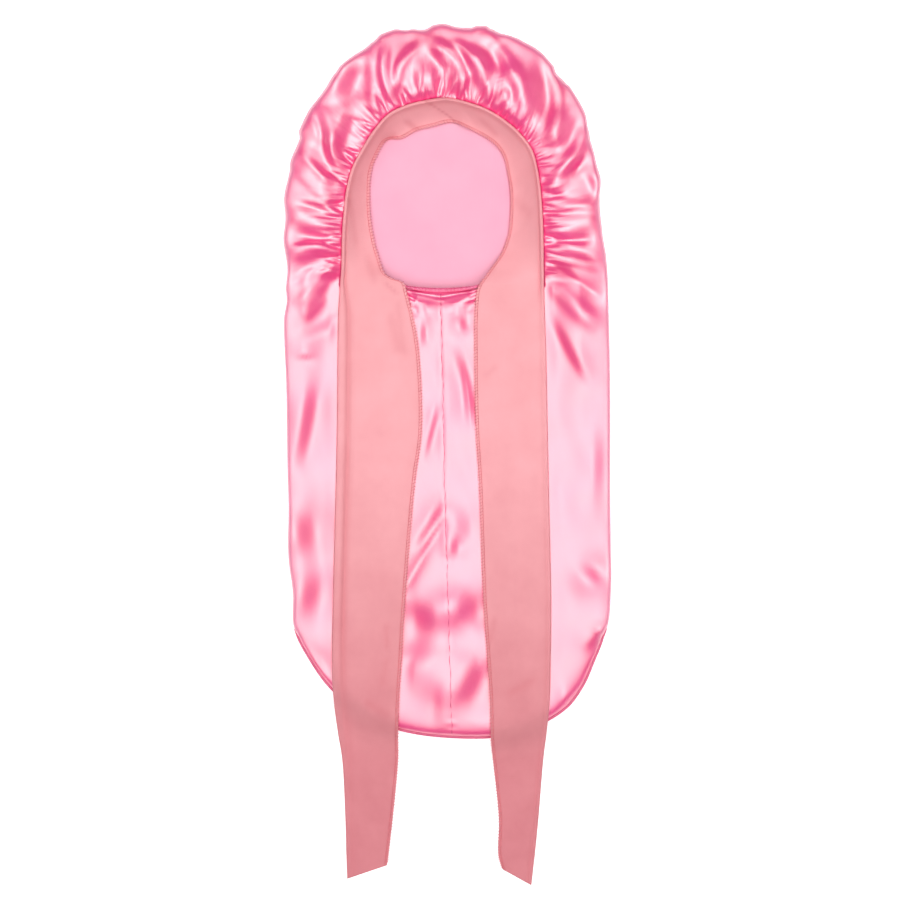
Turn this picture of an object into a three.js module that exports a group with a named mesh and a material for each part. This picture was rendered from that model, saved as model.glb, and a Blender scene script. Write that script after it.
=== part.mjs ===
// A satin sleep bonnet for long braids, lying on its back layer with the face opening upwards.
// Millimetres, +Z up, +Y towards the crown. The origin is the middle of the outline, on the table.
import * as THREE from 'three';

// Driving sizes
const SATIN_WALL = 1.2; // the satin with its turned seams, taken as one cloth wall
const KNIT_THICKNESS = 2.0; // the doubled knit strip
const ROLL_HEIGHT = 4.4; // the strip's rolled outer edge round the face
const SEWN_GAP = 0.35; // room between two pieces that are sewn together
const SLEEVE_TOP = 16.5; // height of the sleeve's front layer between the ties
const TIE_SEAT = SLEEVE_TOP + 2 * SEWN_GAP; // underside of a tie that lies on the sleeve
const PUFF_RUN = 28; // distance over which the gathered satin rises beside the band
const TIE_MARGIN = 9; // the satin lies flat this far beside a tie before it rises
const GATHER_PITCH = 23; // one gather at the band's seam
const GATHER_RISE = 1.9;
const GATHER_REACH = 9; // distance from the band to the top of a gather
const FOLD_DEPTH = 0.75; // share of each fold's drawn rise that the limp satin keeps
const SHOULDER = 3; // how full the roll down to the outline is: 2 is a quarter ellipse
const HEM_WIDTH = 3.6; // the doubled seam that closes the sleeve's end
const HEM_THICKNESS = 3.0;
const HEM_HEIGHT = 3.0; // middle of the hem above the table
const NAPE_WIDTH = 5.7; // the casing along the opening's lower edge
const NAPE_THICKNESS = 3.0;
const NAPE_HEIGHT = 15.5; // middle of the casing above the table
const NAPE_Y = 169.6; // where the casing crosses the opening, at its two ends
const NAPE_SAG = 1.4;
const CORNER_Y = 172; // level of the band's lower corners
const BACK_CENTRE = { x: 0, y: 20 }; // the back layer's rows close on this point
const HEM_START_Y = -176; // the hem's seam runs round the sleeve's end below this level

const SATIN_PINK = 0xf0a0bc;
const CASING_PINK = 0xdf7f9f;
const KNIT_SALMON = 0xf2a3a8;

// Makes one object for each row, with the column names as its keys.
function table(columns, rows) {
  return rows.map((row) => Object.fromEntries(columns.map((name, i) => [name, row[i]])));
}

// The bag, clockwise from the middle of the crown. Each row pairs a point on the seam round the
// opening with a point on the outline, and says how many columns of the surface follow it.
const SECTIONS = table(
  ['columns', 'seamX', 'seamY', 'edgeX', 'edgeY'],
  [
    [5, -2, 357, -6.5, 430.5],
    [5, 22.5, 352.5, 30, 427],
    [5, 46.5, 341.5, 66.5, 418.5],
    [5, 67.5, 326.5, 98.5, 396.5],
    [5, 83.5, 305.5, 127.5, 358.5],
    [5, 90.5, 283.5, 144.5, 315.5],
    [5, 94.5, 249.5, 152.5, 265.5],
    [5, 96, 221.5, 155.5, 223.5],
    [5, 97, 193.5, 159.5, 180.5],
    [3, 97.3, 176, 161, 145],
    [3, 88, 166, 163, 60],
    [3, 67.5, 166, 163.5, -30],
    [3, 47.5, 166, 163.5, -124.5],
    [3, 32.5, 166, 155.5, -184.5],
    [3, 18.5, 166, 127.5, -244.5],
    [3, 7.5, 166, 72.5, -277.5],
    [3, -4.5, 166, 1.5, -282.5],
    [3, -16.5, 166, -62.5, -270],
    [3, -27.5, 166, -115.5, -234.5],
    [3, -42.5, 166, -148.5, -184.5],
    [3, -57.5, 166, -156.5, -124.5],
    [3, -77.5, 166, -160.5, -30],
    [3, -98, 166, -161.5, 60],
    [5, -107.5, 176, -162, 135],
    [5, -106, 193.5, -160, 180.5],
    [5, -105.5, 221.5, -163.5, 220.5],
    [5, -103.5, 249.5, -161.5, 258.5],
    [5, -97.5, 279.5, -154.5, 300.5],
    [5, -85.5, 305.5, -139.5, 339.5],
    [5, -67.5, 332.5, -111.5, 381.5],
    [5, -47.5, 347.5, -73.5, 410.5],
    [5, -24.5, 354.5, -38.5, 423.5],
  ],
);

// How the bag stands at each level: height of the gathered puff, width of the roll down to the
// outline, height of the outline, and width of the roll back in under it.
const LEVELS = table(
  ['y', 'crest', 'roll', 'widest', 'under'],
  [
    [432, 36, 32, 19, 12],
    [330, 36, 32, 19, 12],
    [250, 34, 31, 19, 12],
    [210, 31.5, 30, 18, 12],
    [172, 26, 28, 15.5, 10],
    [150, 23.5, 26, 14, 10],
    [90, 20.5, 22, 11, 8],
    [20, 18, 17, 7, 6],
    [-170, 17, 19, 6.5, 6],
    [-225, 16, 33, 4, 4.5],
    [-285, 15, 41, HEM_HEIGHT, 4],
  ],
);

// The band round the face, from the left corner over the crown to the right corner.
const BAND = table(
  ['outerX', 'outerY', 'innerX', 'innerY', 'rollTop', 'innerTop'],
  [
    [-107.6, 171.5, -43.5, 173, 21.7, 19.3],
    [-107, 177.5, -54.5, 176.5, 22.3, 17.5],
    [-106.5, 183.5, -62.5, 182, 23.4, 14],
    [-106, 197.5, -68.5, 197.5, 26.3, 8],
    [-105.5, 217.5, -73.5, 215.5, 29.6, 5.5],
    [-104, 240.5, -77, 237.5, 31.6, 5.3],
    [-101, 265.5, -78, 260.5, 32.4, 5.3],
    [-95.5, 286.5, -76.5, 283.5, 33, 5.3],
    [-86.5, 304.5, -70.5, 300.5, 33.5, 5.3],
    [-74.5, 323.5, -60.5, 315.5, 34, 5.3],
    [-59.5, 340.5, -45.5, 317.5, 34, 5.3],
    [-41.5, 349.5, -31.5, 325, 34, 5.3],
    [-21.5, 354.5, -14.5, 329.5, 34, 5.3],
    [-1.5, 357, 4.5, 333.5, 34, 5.3],
    [18.5, 353, 21.5, 327, 34, 5.3],
    [38.5, 346, 38, 318.5, 34, 5.3],
    [57.5, 334.5, 49.5, 309.5, 34, 5.3],
    [72.5, 321.5, 56.5, 298.5, 33.5, 5.3],
    [84.5, 305, 60.5, 280.5, 33.2, 5.3],
    [90.5, 283.5, 63, 263.5, 32.8, 5.3],
    [94, 255.5, 63, 243.5, 32.2, 5.3],
    [95.5, 230.5, 61, 222.5, 31, 5.3],
    [96.2, 207.5, 54, 202.5, 28.2, 6],
    [96.5, 189.5, 43, 186.5, 24.8, 11],
    [96.7, 178.5, 34.5, 174.5, 22.6, 16.5],
    [96.6, 172.5, 31.5, 170.5, 21.7, 19.3],
  ],
);

// The ties, from the band's corners to their slanted tips: the outer edge's roll is as wide as
// rollWidth and stands rollRise above the sheet.
const TIE_COLUMNS = ['outerX', 'outerY', 'innerX', 'innerY', 'rollWidth', 'rollRise'];
const LEFT_TIE = table(TIE_COLUMNS, [
  [-107.6, 171.1, -43.4, 172.6, 5, 2.4],
  [-108, 164, -41, 164, 6, 2.2],
  [-109.3, 140, -35, 140, 8, 1.8],
  [-109.8, 105.5, -29, 105.5, 8.5, 1.6],
  [-110.5, 25.5, -26, 25.5, 8.5, 1.6],
  [-111.5, -24.5, -32.5, -24.5, 8.5, 1.6],
  [-114.5, -144.5, -42.5, -144.5, 9, 1.6],
  [-115.5, -204.5, -46, -204.5, 10, 1.4],
  [-114, -244.5, -48.5, -244.5, 11, 1],
  [-109.5, -279.5, -49.5, -284.5, 10, 0.6],
  [-105.5, -304.5, -49.5, -304.5, 8, 0.4],
  [-102.3, -364.5, -55, -364.5, 7, 0.4],
  [-101.5, -394.5, -58.5, -394.5, 7, 0.4],
  [-100.5, -424, -60.5, -410.5, 7, 0.4],
]);
const RIGHT_TIE = table(TIE_COLUMNS, [
  [96.6, 172.1, 31.4, 170.1, 4.4, 2.4],
  [96.7, 164, 29.2, 164, 4.4, 1.2],
  [97.3, 140, 27.2, 140, 4.4, 0.6],
  [98.5, 105.5, 27, 105.5, 4.4, 0.5],
  [100, 25.5, 28.5, 25.5, 4.4, 0.5],
  [101, -24.5, 31.5, -24.5, 4.4, 0.5],
  [103.5, -144.5, 36, -144.5, 4.4, 0.5],
  [103, -204.5, 40, -204.5, 4.4, 0.5],
  [102, -244.5, 42.5, -244.5, 4.4, 0.5],
  [99.5, -275, 43.5, -285, 4.4, 0.5],
  [96, -304.5, 45.5, -304.5, 4.4, 0.5],
  [91, -364.5, 51.5, -364.5, 4.4, 0.5],
  [87.5, -400, 51, -400, 4.4, 0.5],
  [84, -430.5, 55, -414.5, 4.4, 0.5],
]);

// The underside of a tie, by its distance inside the bag's outline: it lies on the sleeve, comes
// down over the hem and reaches the table beyond it.
const TIE_DROP = table(
  ['inside', 'seat'],
  [
    [-36, 0],
    [-25, 0.6],
    [-14, 3],
    [-6, 7],
    [0, 11.2],
    [5, 14.4],
    [10, 16.7],
    [15, TIE_SEAT],
  ],
);

// The folds that show: each is a curve through three points, with the width of its flank and its
// rise above the smooth puff, or below it where the number is negative.
const FOLDS = table(
  ['fromX', 'fromY', 'midX', 'midY', 'toX', 'toY', 'width', 'rise'],
  [
    // top of the crown, from left to right
    [-70.5, 334.5, -72, 370.5, -73.5, 407.5, 6.5, 5],
    [-64.5, 415.5, -67.5, 385.5, -59.5, 340.5, 5.5, -5],
    [-62.5, 413.5, -62, 380.5, -55.5, 345.5, 6, 5],
    [-23.5, 414.5, -51.5, 383.5, -50.5, 348.5, 6.5, 6],
    [-35.5, 390.5, -29.5, 370.5, -27.5, 355.5, 8, -6],
    [-22.5, 413.5, -6.5, 391.5, 0.5, 357.5, 7, -6],
    [-23.5, 416.5, 8.5, 395.5, 16.5, 357.5, 6.5, 7],
    [-1.5, 413.5, 28.5, 393.5, 37.5, 350.5, 6.5, 6],
    [32.5, 413.5, 49.5, 380.5, 46.5, 345.5, 6.5, -8],
    [34.5, 423.5, 52.5, 400.5, 66.5, 370.5, 6.5, 6],
    [57.5, 365.5, 59, 353, 60.5, 340.5, 5.5, -4],
    // right side, downwards
    [52.5, 410.5, 70.5, 377.5, 82.5, 350.5, 7, 6],
    [74.5, 405.5, 90.5, 360.5, 82.5, 307.5, 8, -9],
    [97.5, 403.5, 109.5, 355.5, 99.5, 300.5, 7, 7],
    [114.5, 370.5, 113.5, 325.5, 97.5, 280.5, 7, 6],
    [130.5, 345.5, 114.5, 310.5, 100.5, 283.5, 6.5, -6],
    [139.5, 327.5, 122.5, 290.5, 95.5, 255.5, 7, 6],
    [142.5, 320.5, 134.5, 297.5, 124.5, 275.5, 7, -4],
    [97.5, 222.5, 127.5, 233.5, 152.5, 240.5, 10, 6],
    [97.5, 214.5, 122.5, 214.5, 147.5, 215.5, 6.5, -6],
    [97.5, 205.5, 127.5, 197.5, 157.5, 190.5, 7, 5],
    [97.5, 195.5, 127.5, 175.5, 157.5, 155.5, 8, -5],
    [97.5, 177.5, 124.5, 151.5, 152.5, 125.5, 7, 5],
    [97.5, 163.5, 115.5, 123.5, 142.5, 70.5, 6.5, -5],
    // left side, downwards
    [-77.5, 403.5, -102.5, 380.5, -112.5, 335.5, 8, -6],
    [-87.5, 370.5, -95.5, 337.5, -97.5, 305.5, 6.5, 5],
    [-97.5, 350.5, -103.5, 320.5, -101.5, 290.5, 5.5, -5],
    [-125.5, 350.5, -117.5, 320.5, -109.5, 290.5, 6.5, 5],
    [-147.5, 308.5, -129.5, 287.5, -112.5, 270.5, 6.5, 5],
    [-117.5, 290.5, -112, 280.5, -107.5, 270.5, 5.5, -4],
    [-152.5, 290.5, -129.5, 265.5, -107.5, 247.5, 6.5, 5],
    [-160.5, 245.5, -133.5, 232.5, -107.5, 223.5, 8, 5],
    [-159.5, 210.5, -133.5, 214.5, -107.5, 219.5, 5.5, -5],
    [-160.5, 202.5, -133.5, 207.5, -107.5, 215.5, 7, 4],
    [-159.5, 170.5, -135.5, 180.5, -112.5, 193.5, 7, -5],
    [-152.5, 145.5, -130.5, 167.5, -109.5, 193.5, 6.5, 5],
    [-130.5, 80.5, -141.5, 25.5, -147.5, -19.5, 8, -2.5],
    // the two folds that run from the nape's corners into the centre seam
    [-41.5, 161.5, -25.5, 153.5, -7.5, 143.5, 6.5, -2.4],
    [28.5, 158.5, 12.5, 150.5, -4.5, 143.5, 6.5, -2.4],
    [7.5, 105.5, 17.5, 55.5, 27.5, 25.5, 8, -1.6],
  ],
);

// Rows of the front layer, from the outline to the seam: so far from the outline in millimetres,
// and so far across the part between the two fixed stretches.
const FRONT_ROWS = table(
  ['fromEdge', 'across', 'toSeam'],
  [
    [0, 0, 0],
    [1.5, 0, 0],
    [5, 0, 0],
    [11, 0, 0],
    [19, 0, 0],
    [19, 1 / 6, 0],
    [19, 2 / 6, 0],
    [19, 3 / 6, 0],
    [19, 4 / 6, 0],
    [19, 5 / 6, 0],
    [19, 1, 0],
    [19, 1, 6],
    [19, 1, 12],
  ],
);
const EDGE_STRETCH = 19;
const SEAM_STRETCH = 12;
const UNDER_ANGLES = [48, 90]; // degrees round the roll under the outline
const UNDER_FLAT = 0.5; // one more row on the back layer, so far from there to its centre

const smooth = (t) => {
  const u = Math.min(Math.max(t, 0), 1);
  return u * u * (3 - 2 * u);
};
const mix = (a, b, t) => a + (b - a) * t;

// Reads one column of a table at a value of its first column, with straight lines between rows.
function lookUp(rows, key, at, column) {
  const rising = rows[0][key] < rows[rows.length - 1][key] ? rows : [...rows].reverse();
  if (at <= rising[0][key]) return rising[0][column];
  for (let i = 1; i < rising.length; i += 1) {
    const [a, b] = [rising[i - 1], rising[i]];
    if (at <= b[key]) return mix(a[column], b[column], (at - a[key]) / (b[key] - a[key]));
  }
  return rising[rising.length - 1][column];
}

function curveThrough(rows, xName, yName, closed) {
  const points = rows.map((row) => new THREE.Vector3(row[xName], row[yName], 0));
  return new THREE.CatmullRomCurve3(points, closed, 'centripetal');
}

// The nearest point of a line: its distance, its height, and how far along the line it is.
function nearestOn(line, x, y) {
  let best = { distance: Infinity };
  for (let i = 1; i < line.length; i += 1) {
    const [a, b] = [line[i - 1], line[i]];
    const [dx, dy] = [b.x - a.x, b.y - a.y];
    const length2 = dx * dx + dy * dy;
    const t = length2 ? Math.min(Math.max(((x - a.x) * dx + (y - a.y) * dy) / length2, 0), 1) : 0;
    const [px, py] = [a.x + dx * t, a.y + dy * t];
    const distance = Math.hypot(x - px, y - py);
    if (distance < best.distance) {
      best = { distance, x: px, y: py, z: mix(a.z, b.z, t), along: mix(a.along, b.along, t) };
      best.normalX = -dy / Math.sqrt(length2);
      best.normalY = dx / Math.sqrt(length2);
    }
  }
  return best;
}

function isInside(line, x, y) {
  let inside = false;
  for (let i = 0, j = line.length - 1; i < line.length; j = i, i += 1) {
    const [a, b] = [line[i], line[j]];
    if (a.y > y !== b.y > y && x < ((b.x - a.x) * (y - a.y)) / (b.y - a.y) + a.x) inside = !inside;
  }
  return inside;
}

function withLength(line) {
  let along = 0;
  line.forEach((point, i) => {
    if (i) along += Math.hypot(point.x - line[i - 1].x, point.y - line[i - 1].y);
    point.along = along;
  });
  return line;
}

const edgeCurve = curveThrough(SECTIONS, 'edgeX', 'edgeY', true);
const seamCurve = curveThrough(SECTIONS, 'seamX', 'seamY', true);
const EDGE_SAMPLES = 480;
const edgeLine = edgeCurve.getPoints(EDGE_SAMPLES);

// Where the satin meets the strip's outer edge: below the roll's top round the face, and under the
// ties below the corners.
function satinUnderRoll(rollTop, y) {
  const PROUD = 1.9;
  const TUCK = 2.9;
  return rollTop - PROUD - TUCK * (1 - smooth((y - CORNER_Y) / 18));
}

function stripLine(side) {
  const ties = [LEFT_TIE, RIGHT_TIE].map((rows) =>
    curveThrough(rows, `${side}X`, `${side}Y`, false)
      .getPoints(rows.length * 4)
      .map((p) => ({ x: p.x, y: p.y, z: SLEEVE_TOP })),
  );
  const steps = 6;
  const curve = curveThrough(BAND, `${side}X`, `${side}Y`, false);
  const band = curve.getPoints((BAND.length - 1) * steps).map((p, i) => {
    const row = Math.min(Math.floor(i / steps), BAND.length - 2);
    const rollTop = mix(BAND[row].rollTop, BAND[row + 1].rollTop, i / steps - row);
    return { x: p.x, y: p.y, z: satinUnderRoll(rollTop, p.y) };
  });
  return withLength([...ties[0].reverse(), ...band, ...ties[1]]);
}
const outerLine = stripLine('outer');
const innerLine = stripLine('inner');

const foldLines = FOLDS.map((fold) => {
  const [from, mid, to] = ['from', 'mid', 'to'].map(
    (end) => new THREE.Vector3(fold[`${end}X`], fold[`${end}Y`], 0),
  );
  return { ...fold, line: new THREE.CatmullRomCurve3([from, mid, to]).getPoints(10) };
});

function foldLift(x, y) {
  let lift = 0;
  for (const fold of foldLines) {
    const reach = nearestOn(fold.line, x, y).distance / fold.width;
    if (reach < 3) lift += FOLD_DEPTH * fold.rise * Math.exp(-reach * reach);
  }
  return lift;
}

function gatherLift(strip) {
  const reach = strip.distance / GATHER_REACH;
  return GATHER_RISE * Math.sin((2 * Math.PI * strip.along) / GATHER_PITCH) * reach * Math.exp(1 - reach);
}

// Height of the front layer's outer face over a point of the plan. The ties lie on it, so it is
// smooth under them.
function frontHeight(x, y) {
  const level = (column) => lookUp(LEVELS, 'y', y, column);
  const strip = nearestOn(outerLine, x, y);
  const fromEdge = Math.max(nearestOn(edgeLine, x, y).distance - hemInset(y), 0);
  const sleeve = isInside(outerLine, x, y);
  const besideTie = TIE_MARGIN * (1 - smooth((y - CORNER_Y) / 20));
  const puff = smooth((strip.distance - besideTie) / PUFF_RUN);
  let height = sleeve ? SLEEVE_TOP : mix(strip.z, level('crest'), puff);
  let clearOfStrip = strip.distance;
  if (sleeve) clearOfStrip = isInside(innerLine, x, y) ? nearestOn(innerLine, x, y).distance : 0;
  else height += gatherLift(strip) * smooth((y - CORNER_Y) / 15);
  height += foldLift(x, y) * smooth(clearOfStrip / 9);
  const acrossRoll = Math.min(fromEdge / level('roll'), 1);
  const rolled = (1 - (1 - acrossRoll) ** SHOULDER) ** (1 / SHOULDER);
  return mix(level('widest'), height, rolled);
}

// The outline runs clockwise seen from above, so inwards is on its right.
function inwardsAt(curve, u) {
  const tangent = curve.getTangent(u);
  return new THREE.Vector3(tangent.y, -tangent.x, 0).normalize();
}

// Room for the hem outside the bag's own edge at the sleeve's end.
function hemInset(y) {
  return (HEM_WIDTH + SEWN_GAP) * smooth((HEM_START_Y + 8 - y) / 14);
}

const napeY = (x) => NAPE_Y - NAPE_SAG * (1 - Math.min(((x + 7) / 45) ** 2, 1));

// The seam's point for one column: against the band round the face, and against the casing below.
function seamPoint(u) {
  const free = seamCurve.getPoint(u);
  if (free.y > CORNER_Y) {
    const seat = nearestOn(outerLine, free.x, free.y);
    const out = 2.5 * SEWN_GAP;
    return new THREE.Vector3(seat.x + seat.normalX * out, seat.y + seat.normalY * out, seat.z);
  }
  const below = napeY(free.x) - NAPE_WIDTH / 2 - SEWN_GAP;
  const under = smooth((free.y - 166) / 6);
  return new THREE.Vector3(free.x, Math.max(below, free.y) * under + below * (1 - under), SLEEVE_TOP - 0.4);
}

function bagColumn(u) {
  const outline = edgeCurve.getPoint(u);
  const inwards = inwardsAt(edgeCurve, u);
  const edge = outline.clone().addScaledVector(inwards, hemInset(outline.y));
  const seam = seamPoint(u);
  const seamPlan = new THREE.Vector3(seam.x, seam.y, 0);
  const outwards = inwardsAt(seamCurve, u).negate();
  const reach = edge.distanceTo(seamPlan);
  const BEND = 0.3;
  const path = new THREE.CubicBezierCurve3(
    edge,
    edge.clone().addScaledVector(inwards, reach * BEND),
    seamPlan.clone().addScaledVector(outwards, reach * BEND),
    seamPlan,
  );
  const length = path.getLength();
  const front = FRONT_ROWS.map((row) => {
    const way = row.fromEdge + row.across * (length - EDGE_STRETCH - SEAM_STRETCH) + row.toSeam;
    const point = path.getPointAt(Math.min(way / length, 1));
    point.z = frontHeight(point.x, point.y);
    return point;
  });
  front[0].z = lookUp(LEVELS, 'y', edge.y, 'widest');
  front[front.length - 1].z = seam.z;
  const under = lookUp(LEVELS, 'y', edge.y, 'under');
  const rolledUnder = UNDER_ANGLES.map((angle) => {
    const turn = THREE.MathUtils.degToRad(angle);
    const point = edge.clone().addScaledVector(inwards, under * (1 - Math.cos(turn)));
    point.z = front[0].z * (1 - Math.sin(turn));
    return point;
  });
  const centre = new THREE.Vector3(BACK_CENTRE.x, BACK_CENTRE.y, 0);
  const flat = rolledUnder[rolledUnder.length - 1].clone().lerp(centre, UNDER_FLAT);
  return [...front.reverse(), ...rolledUnder, flat];
}

// One closed shell: columns of points from the seam to the back's centre, the same surface again
// one wall further in, and a rim between the two at the seam.
function shellGeometry(columns, centre, wall) {
  const rows = columns[0].length;
  const count = columns.length;
  const outer = [...columns.flat(), centre];
  const faces = [];
  columns.forEach((_, c) => {
    const [here, next] = [c * rows, ((c + 1) % count) * rows];
    for (let r = 0; r + 1 < rows; r += 1) {
      faces.push([here + r, here + r + 1, next + r + 1], [here + r, next + r + 1, next + r]);
    }
    faces.push([here + rows - 1, outer.length - 1, next + rows - 1]);
  });
  const normals = outer.map(() => new THREE.Vector3());
  const normal = new THREE.Vector3();
  faces.forEach((face) => {
    const [a, b, c] = face.map((index) => outer[index]);
    normal.subVectors(b, a).cross(new THREE.Vector3().subVectors(c, a));
    face.forEach((index) => normals[index].add(normal));
  });
  const side = normals[outer.length - 1].z < 0 ? 1 : -1;
  const inner = outer.map((p, i) => p.clone().addScaledVector(normals[i].normalize(), -side * wall));
  const turned = (face) => [face[0], face[2], face[1]];
  const inside = faces.map((face) => face.map((index) => index + outer.length));
  const rim = columns.flatMap((_, c) => {
    const [here, next] = [c * rows, ((c + 1) % count) * rows];
    const [hereIn, nextIn] = [here + outer.length, next + outer.length];
    return [
      [here, next, nextIn],
      [here, nextIn, hereIn],
    ];
  });
  const all = [...faces, ...inside.map(turned), ...rim];
  return closedGeometry([...outer, ...inner], side > 0 ? all : all.map(turned));
}

function closedGeometry(points, faces) {
  const geometry = new THREE.BufferGeometry();
  geometry.setAttribute('position', new THREE.Float32BufferAttribute(points.flatMap((p) => [p.x, p.y, p.z]), 3));
  geometry.setIndex(faces.flat());
  geometry.computeVertexNormals();
  return geometry;
}

function satinBag() {
  const columns = SECTIONS.flatMap((section, i) =>
    Array.from({ length: section.columns }, (_, k) => bagColumn((i + k / section.columns) / SECTIONS.length)),
  );
  return shellGeometry(columns, new THREE.Vector3(BACK_CENTRE.x, BACK_CENTRE.y, 0), SATIN_WALL);
}

// A strip through sections: each is a chain of points over the top and one of as many below.
function stripGeometry(sections) {
  const width = sections[0].top.length;
  const ring = 2 * width;
  const points = sections.flatMap(({ top, bottom }) => [...top, ...[...bottom].reverse()]);
  const faces = [];
  for (let s = 0; s + 1 < sections.length; s += 1) {
    for (let i = 0; i < ring; i += 1) {
      const [a, b] = [s * ring + i, s * ring + ((i + 1) % ring)];
      faces.push([a, b, b + ring], [a, b + ring, a + ring]);
    }
  }
  const cap = (start) => {
    const made = [];
    for (let i = 0; i + 1 < width; i += 1) {
      const [a, b, c, d] = [i, i + 1, ring - 2 - i, ring - 1 - i].map((k) => start + k);
      made.push([a, c, b], [a, d, c]);
    }
    return made;
  };
  faces.push(...cap(0), ...cap((sections.length - 1) * ring).map((f) => [f[0], f[2], f[1]]));
  const [a, b, c] = [points[1], points[2], points[ring + 1]];
  const up = new THREE.Vector3().subVectors(b, a).cross(new THREE.Vector3().subVectors(c, a));
  return closedGeometry(points, up.z > 0 ? faces : faces.map((f) => [f[0], f[2], f[1]]));
}

// One section of the knit strip: the rolled outer edge, the crease beside it, and the sheet that
// runs to the inner edge, straight on a tie and hollow where it slopes into the opening.
function stripSection({ outer, inner, rollTop, innerTop, rollWidth, rollRise, hollow, seatAt }) {
  const across = new THREE.Vector2().subVectors(inner, outer);
  const width = across.length();
  across.normalize();
  const half = KNIT_THICKNESS / 2;
  const start = { q: rollWidth * 0.8, z: rollTop - rollRise - half };
  const end = { q: width, z: innerTop - half };
  const place = (q, z) => {
    const [x, y] = [outer.x + across.x * q, outer.y + across.y * q];
    return new THREE.Vector3(x, y, z + (seatAt ? seatAt(x, y) : 0));
  };
  const rollBottom = rollTop - rollRise - KNIT_THICKNESS;
  const top = [place(0, rollTop - 0.4 * (rollRise + KNIT_THICKNESS)), place(rollWidth * 0.45, rollTop)];
  const bottom = [place(0, rollBottom + 1.6), place(rollWidth * 0.4, rollBottom)];
  for (const s of [0, 0.22, 0.55, 0.86, 1]) {
    const q = mix(start.q, end.q, s);
    const z = mix(end.z, start.z, (1 - s) ** hollow);
    const slope = (-hollow * (start.z - end.z) * (1 - s) ** (hollow - 1)) / (end.q - start.q);
    const normal = new THREE.Vector2(-slope, 1).normalize();
    const thick = s < 1 ? half : half * 0.45;
    top.push(place(q + normal.x * thick, z + normal.y * thick));
    bottom.push(place(q - normal.x * thick, z - normal.y * thick));
  }
  return { top, bottom };
}

// Samples a strip's table at a whole number of steps in each row.
function alongStrip(rows, steps, make) {
  const outerCurve = curveThrough(rows, 'outerX', 'outerY', false);
  const innerCurve = curveThrough(rows, 'innerX', 'innerY', false);
  const total = (rows.length - 1) * steps;
  return Array.from({ length: total + 1 }, (_, i) => {
    const row = Math.min(Math.floor(i / steps), rows.length - 2);
    const t = i / steps - row;
    const between = (name) => mix(rows[row][name], rows[row + 1][name], t);
    return make(outerCurve.getPoint(i / total), innerCurve.getPoint(i / total), between);
  });
}

function headBand() {
  const ROLL_WIDTH = 4.4;
  return stripGeometry(
    alongStrip(BAND, 2, (outer, inner, between) =>
      stripSection({
        outer,
        inner,
        rollTop: between('rollTop'),
        innerTop: between('innerTop'),
        rollWidth: ROLL_WIDTH,
        rollRise: ROLL_HEIGHT - KNIT_THICKNESS,
        hollow: 1.6,
      }),
    ),
  );
}

function tieSeat(x, y) {
  const fromEdge = nearestOn(edgeLine, x, y).distance;
  return lookUp(TIE_DROP, 'inside', isInside(edgeLine, x, y) ? fromEdge : -fromEdge, 'seat');
}

function tie(rows) {
  return stripGeometry(
    alongStrip(rows, 2, (outer, inner, between) =>
      stripSection({
        outer,
        inner,
        rollTop: KNIT_THICKNESS + between('rollRise'),
        innerTop: KNIT_THICKNESS,
        rollWidth: between('rollWidth'),
        rollRise: between('rollRise'),
        hollow: 1,
        seatAt: tieSeat,
      }),
    ),
  );
}

// A small rolled or doubled edge along a plan line: a six-sided section, width by thickness.
function edgeRoll(line, width, thickness, normalAt) {
  const CHAIN = [0, 0.5, 1];
  const HALF_HEIGHT = [0.3, 1, 0.3];
  return stripGeometry(
    line.map((point, i) => {
      const normal = normalAt(i);
      const place = (k, sign) =>
        new THREE.Vector3(
          point.x + normal.x * width * (CHAIN[k] - 0.5),
          point.y + normal.y * width * (CHAIN[k] - 0.5),
          point.z + (sign * HALF_HEIGHT[k] * thickness) / 2,
        );
      const chain = (sign) => CHAIN.map((_, k) => place(k, sign));
      return { top: chain(1), bottom: chain(-1) };
    }),
  );
}

function napeCasing() {
  const [FROM, TO, STEPS, RIPPLE] = [-54, 42, 26, 0.35];
  const line = Array.from({ length: STEPS + 1 }, (_, i) => {
    const x = mix(FROM, TO, i / STEPS);
    return new THREE.Vector3(x, napeY(x), NAPE_HEIGHT - (i % 2) * RIPPLE);
  });
  return edgeRoll(line, NAPE_WIDTH, NAPE_THICKNESS - RIPPLE, () => new THREE.Vector2(0, 1));
}

// The hem closes the sleeve's end between two rows of SECTIONS, counted from the crown.
function hemSeam() {
  const [FROM, TO, STEPS] = [13.02, 18.98, 36];
  const at = Array.from({ length: STEPS + 1 }, (_, i) => i / STEPS);
  const places = at.map((t) => mix(FROM, TO, t) / SECTIONS.length);
  const line = places.map((u) => {
    const inwards = inwardsAt(edgeCurve, u);
    const point = edgeCurve.getPoint(u).addScaledVector(inwards, HEM_WIDTH / 2);
    point.z = HEM_HEIGHT;
    return point;
  });
  return edgeRoll(line, HEM_WIDTH, HEM_THICKNESS, (i) => inwardsAt(edgeCurve, places[i]));
}

function cloth(colour, roughness) {
  return new THREE.MeshStandardMaterial({ color: colour, roughness, metalness: 0, side: THREE.FrontSide });
}

function named(name, geometry, material) {
  const mesh = new THREE.Mesh(geometry, material);
  mesh.name = name;
  return mesh;
}

const bonnet = new THREE.Group();
bonnet.add(
  named('satin_bag', satinBag(), cloth(SATIN_PINK, 0.35)),
  named('nape_casing', napeCasing(), cloth(CASING_PINK, 0.45)),
  named('hem_seam', hemSeam(), cloth(CASING_PINK, 0.4)),
  named('head_band', headBand(), cloth(KNIT_SALMON, 0.9)),
  named('tie_left', tie(LEFT_TIE), cloth(KNIT_SALMON, 0.9)),
  named('tie_right', tie(RIGHT_TIE), cloth(KNIT_SALMON, 0.9)),
);

export default bonnet;
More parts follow.
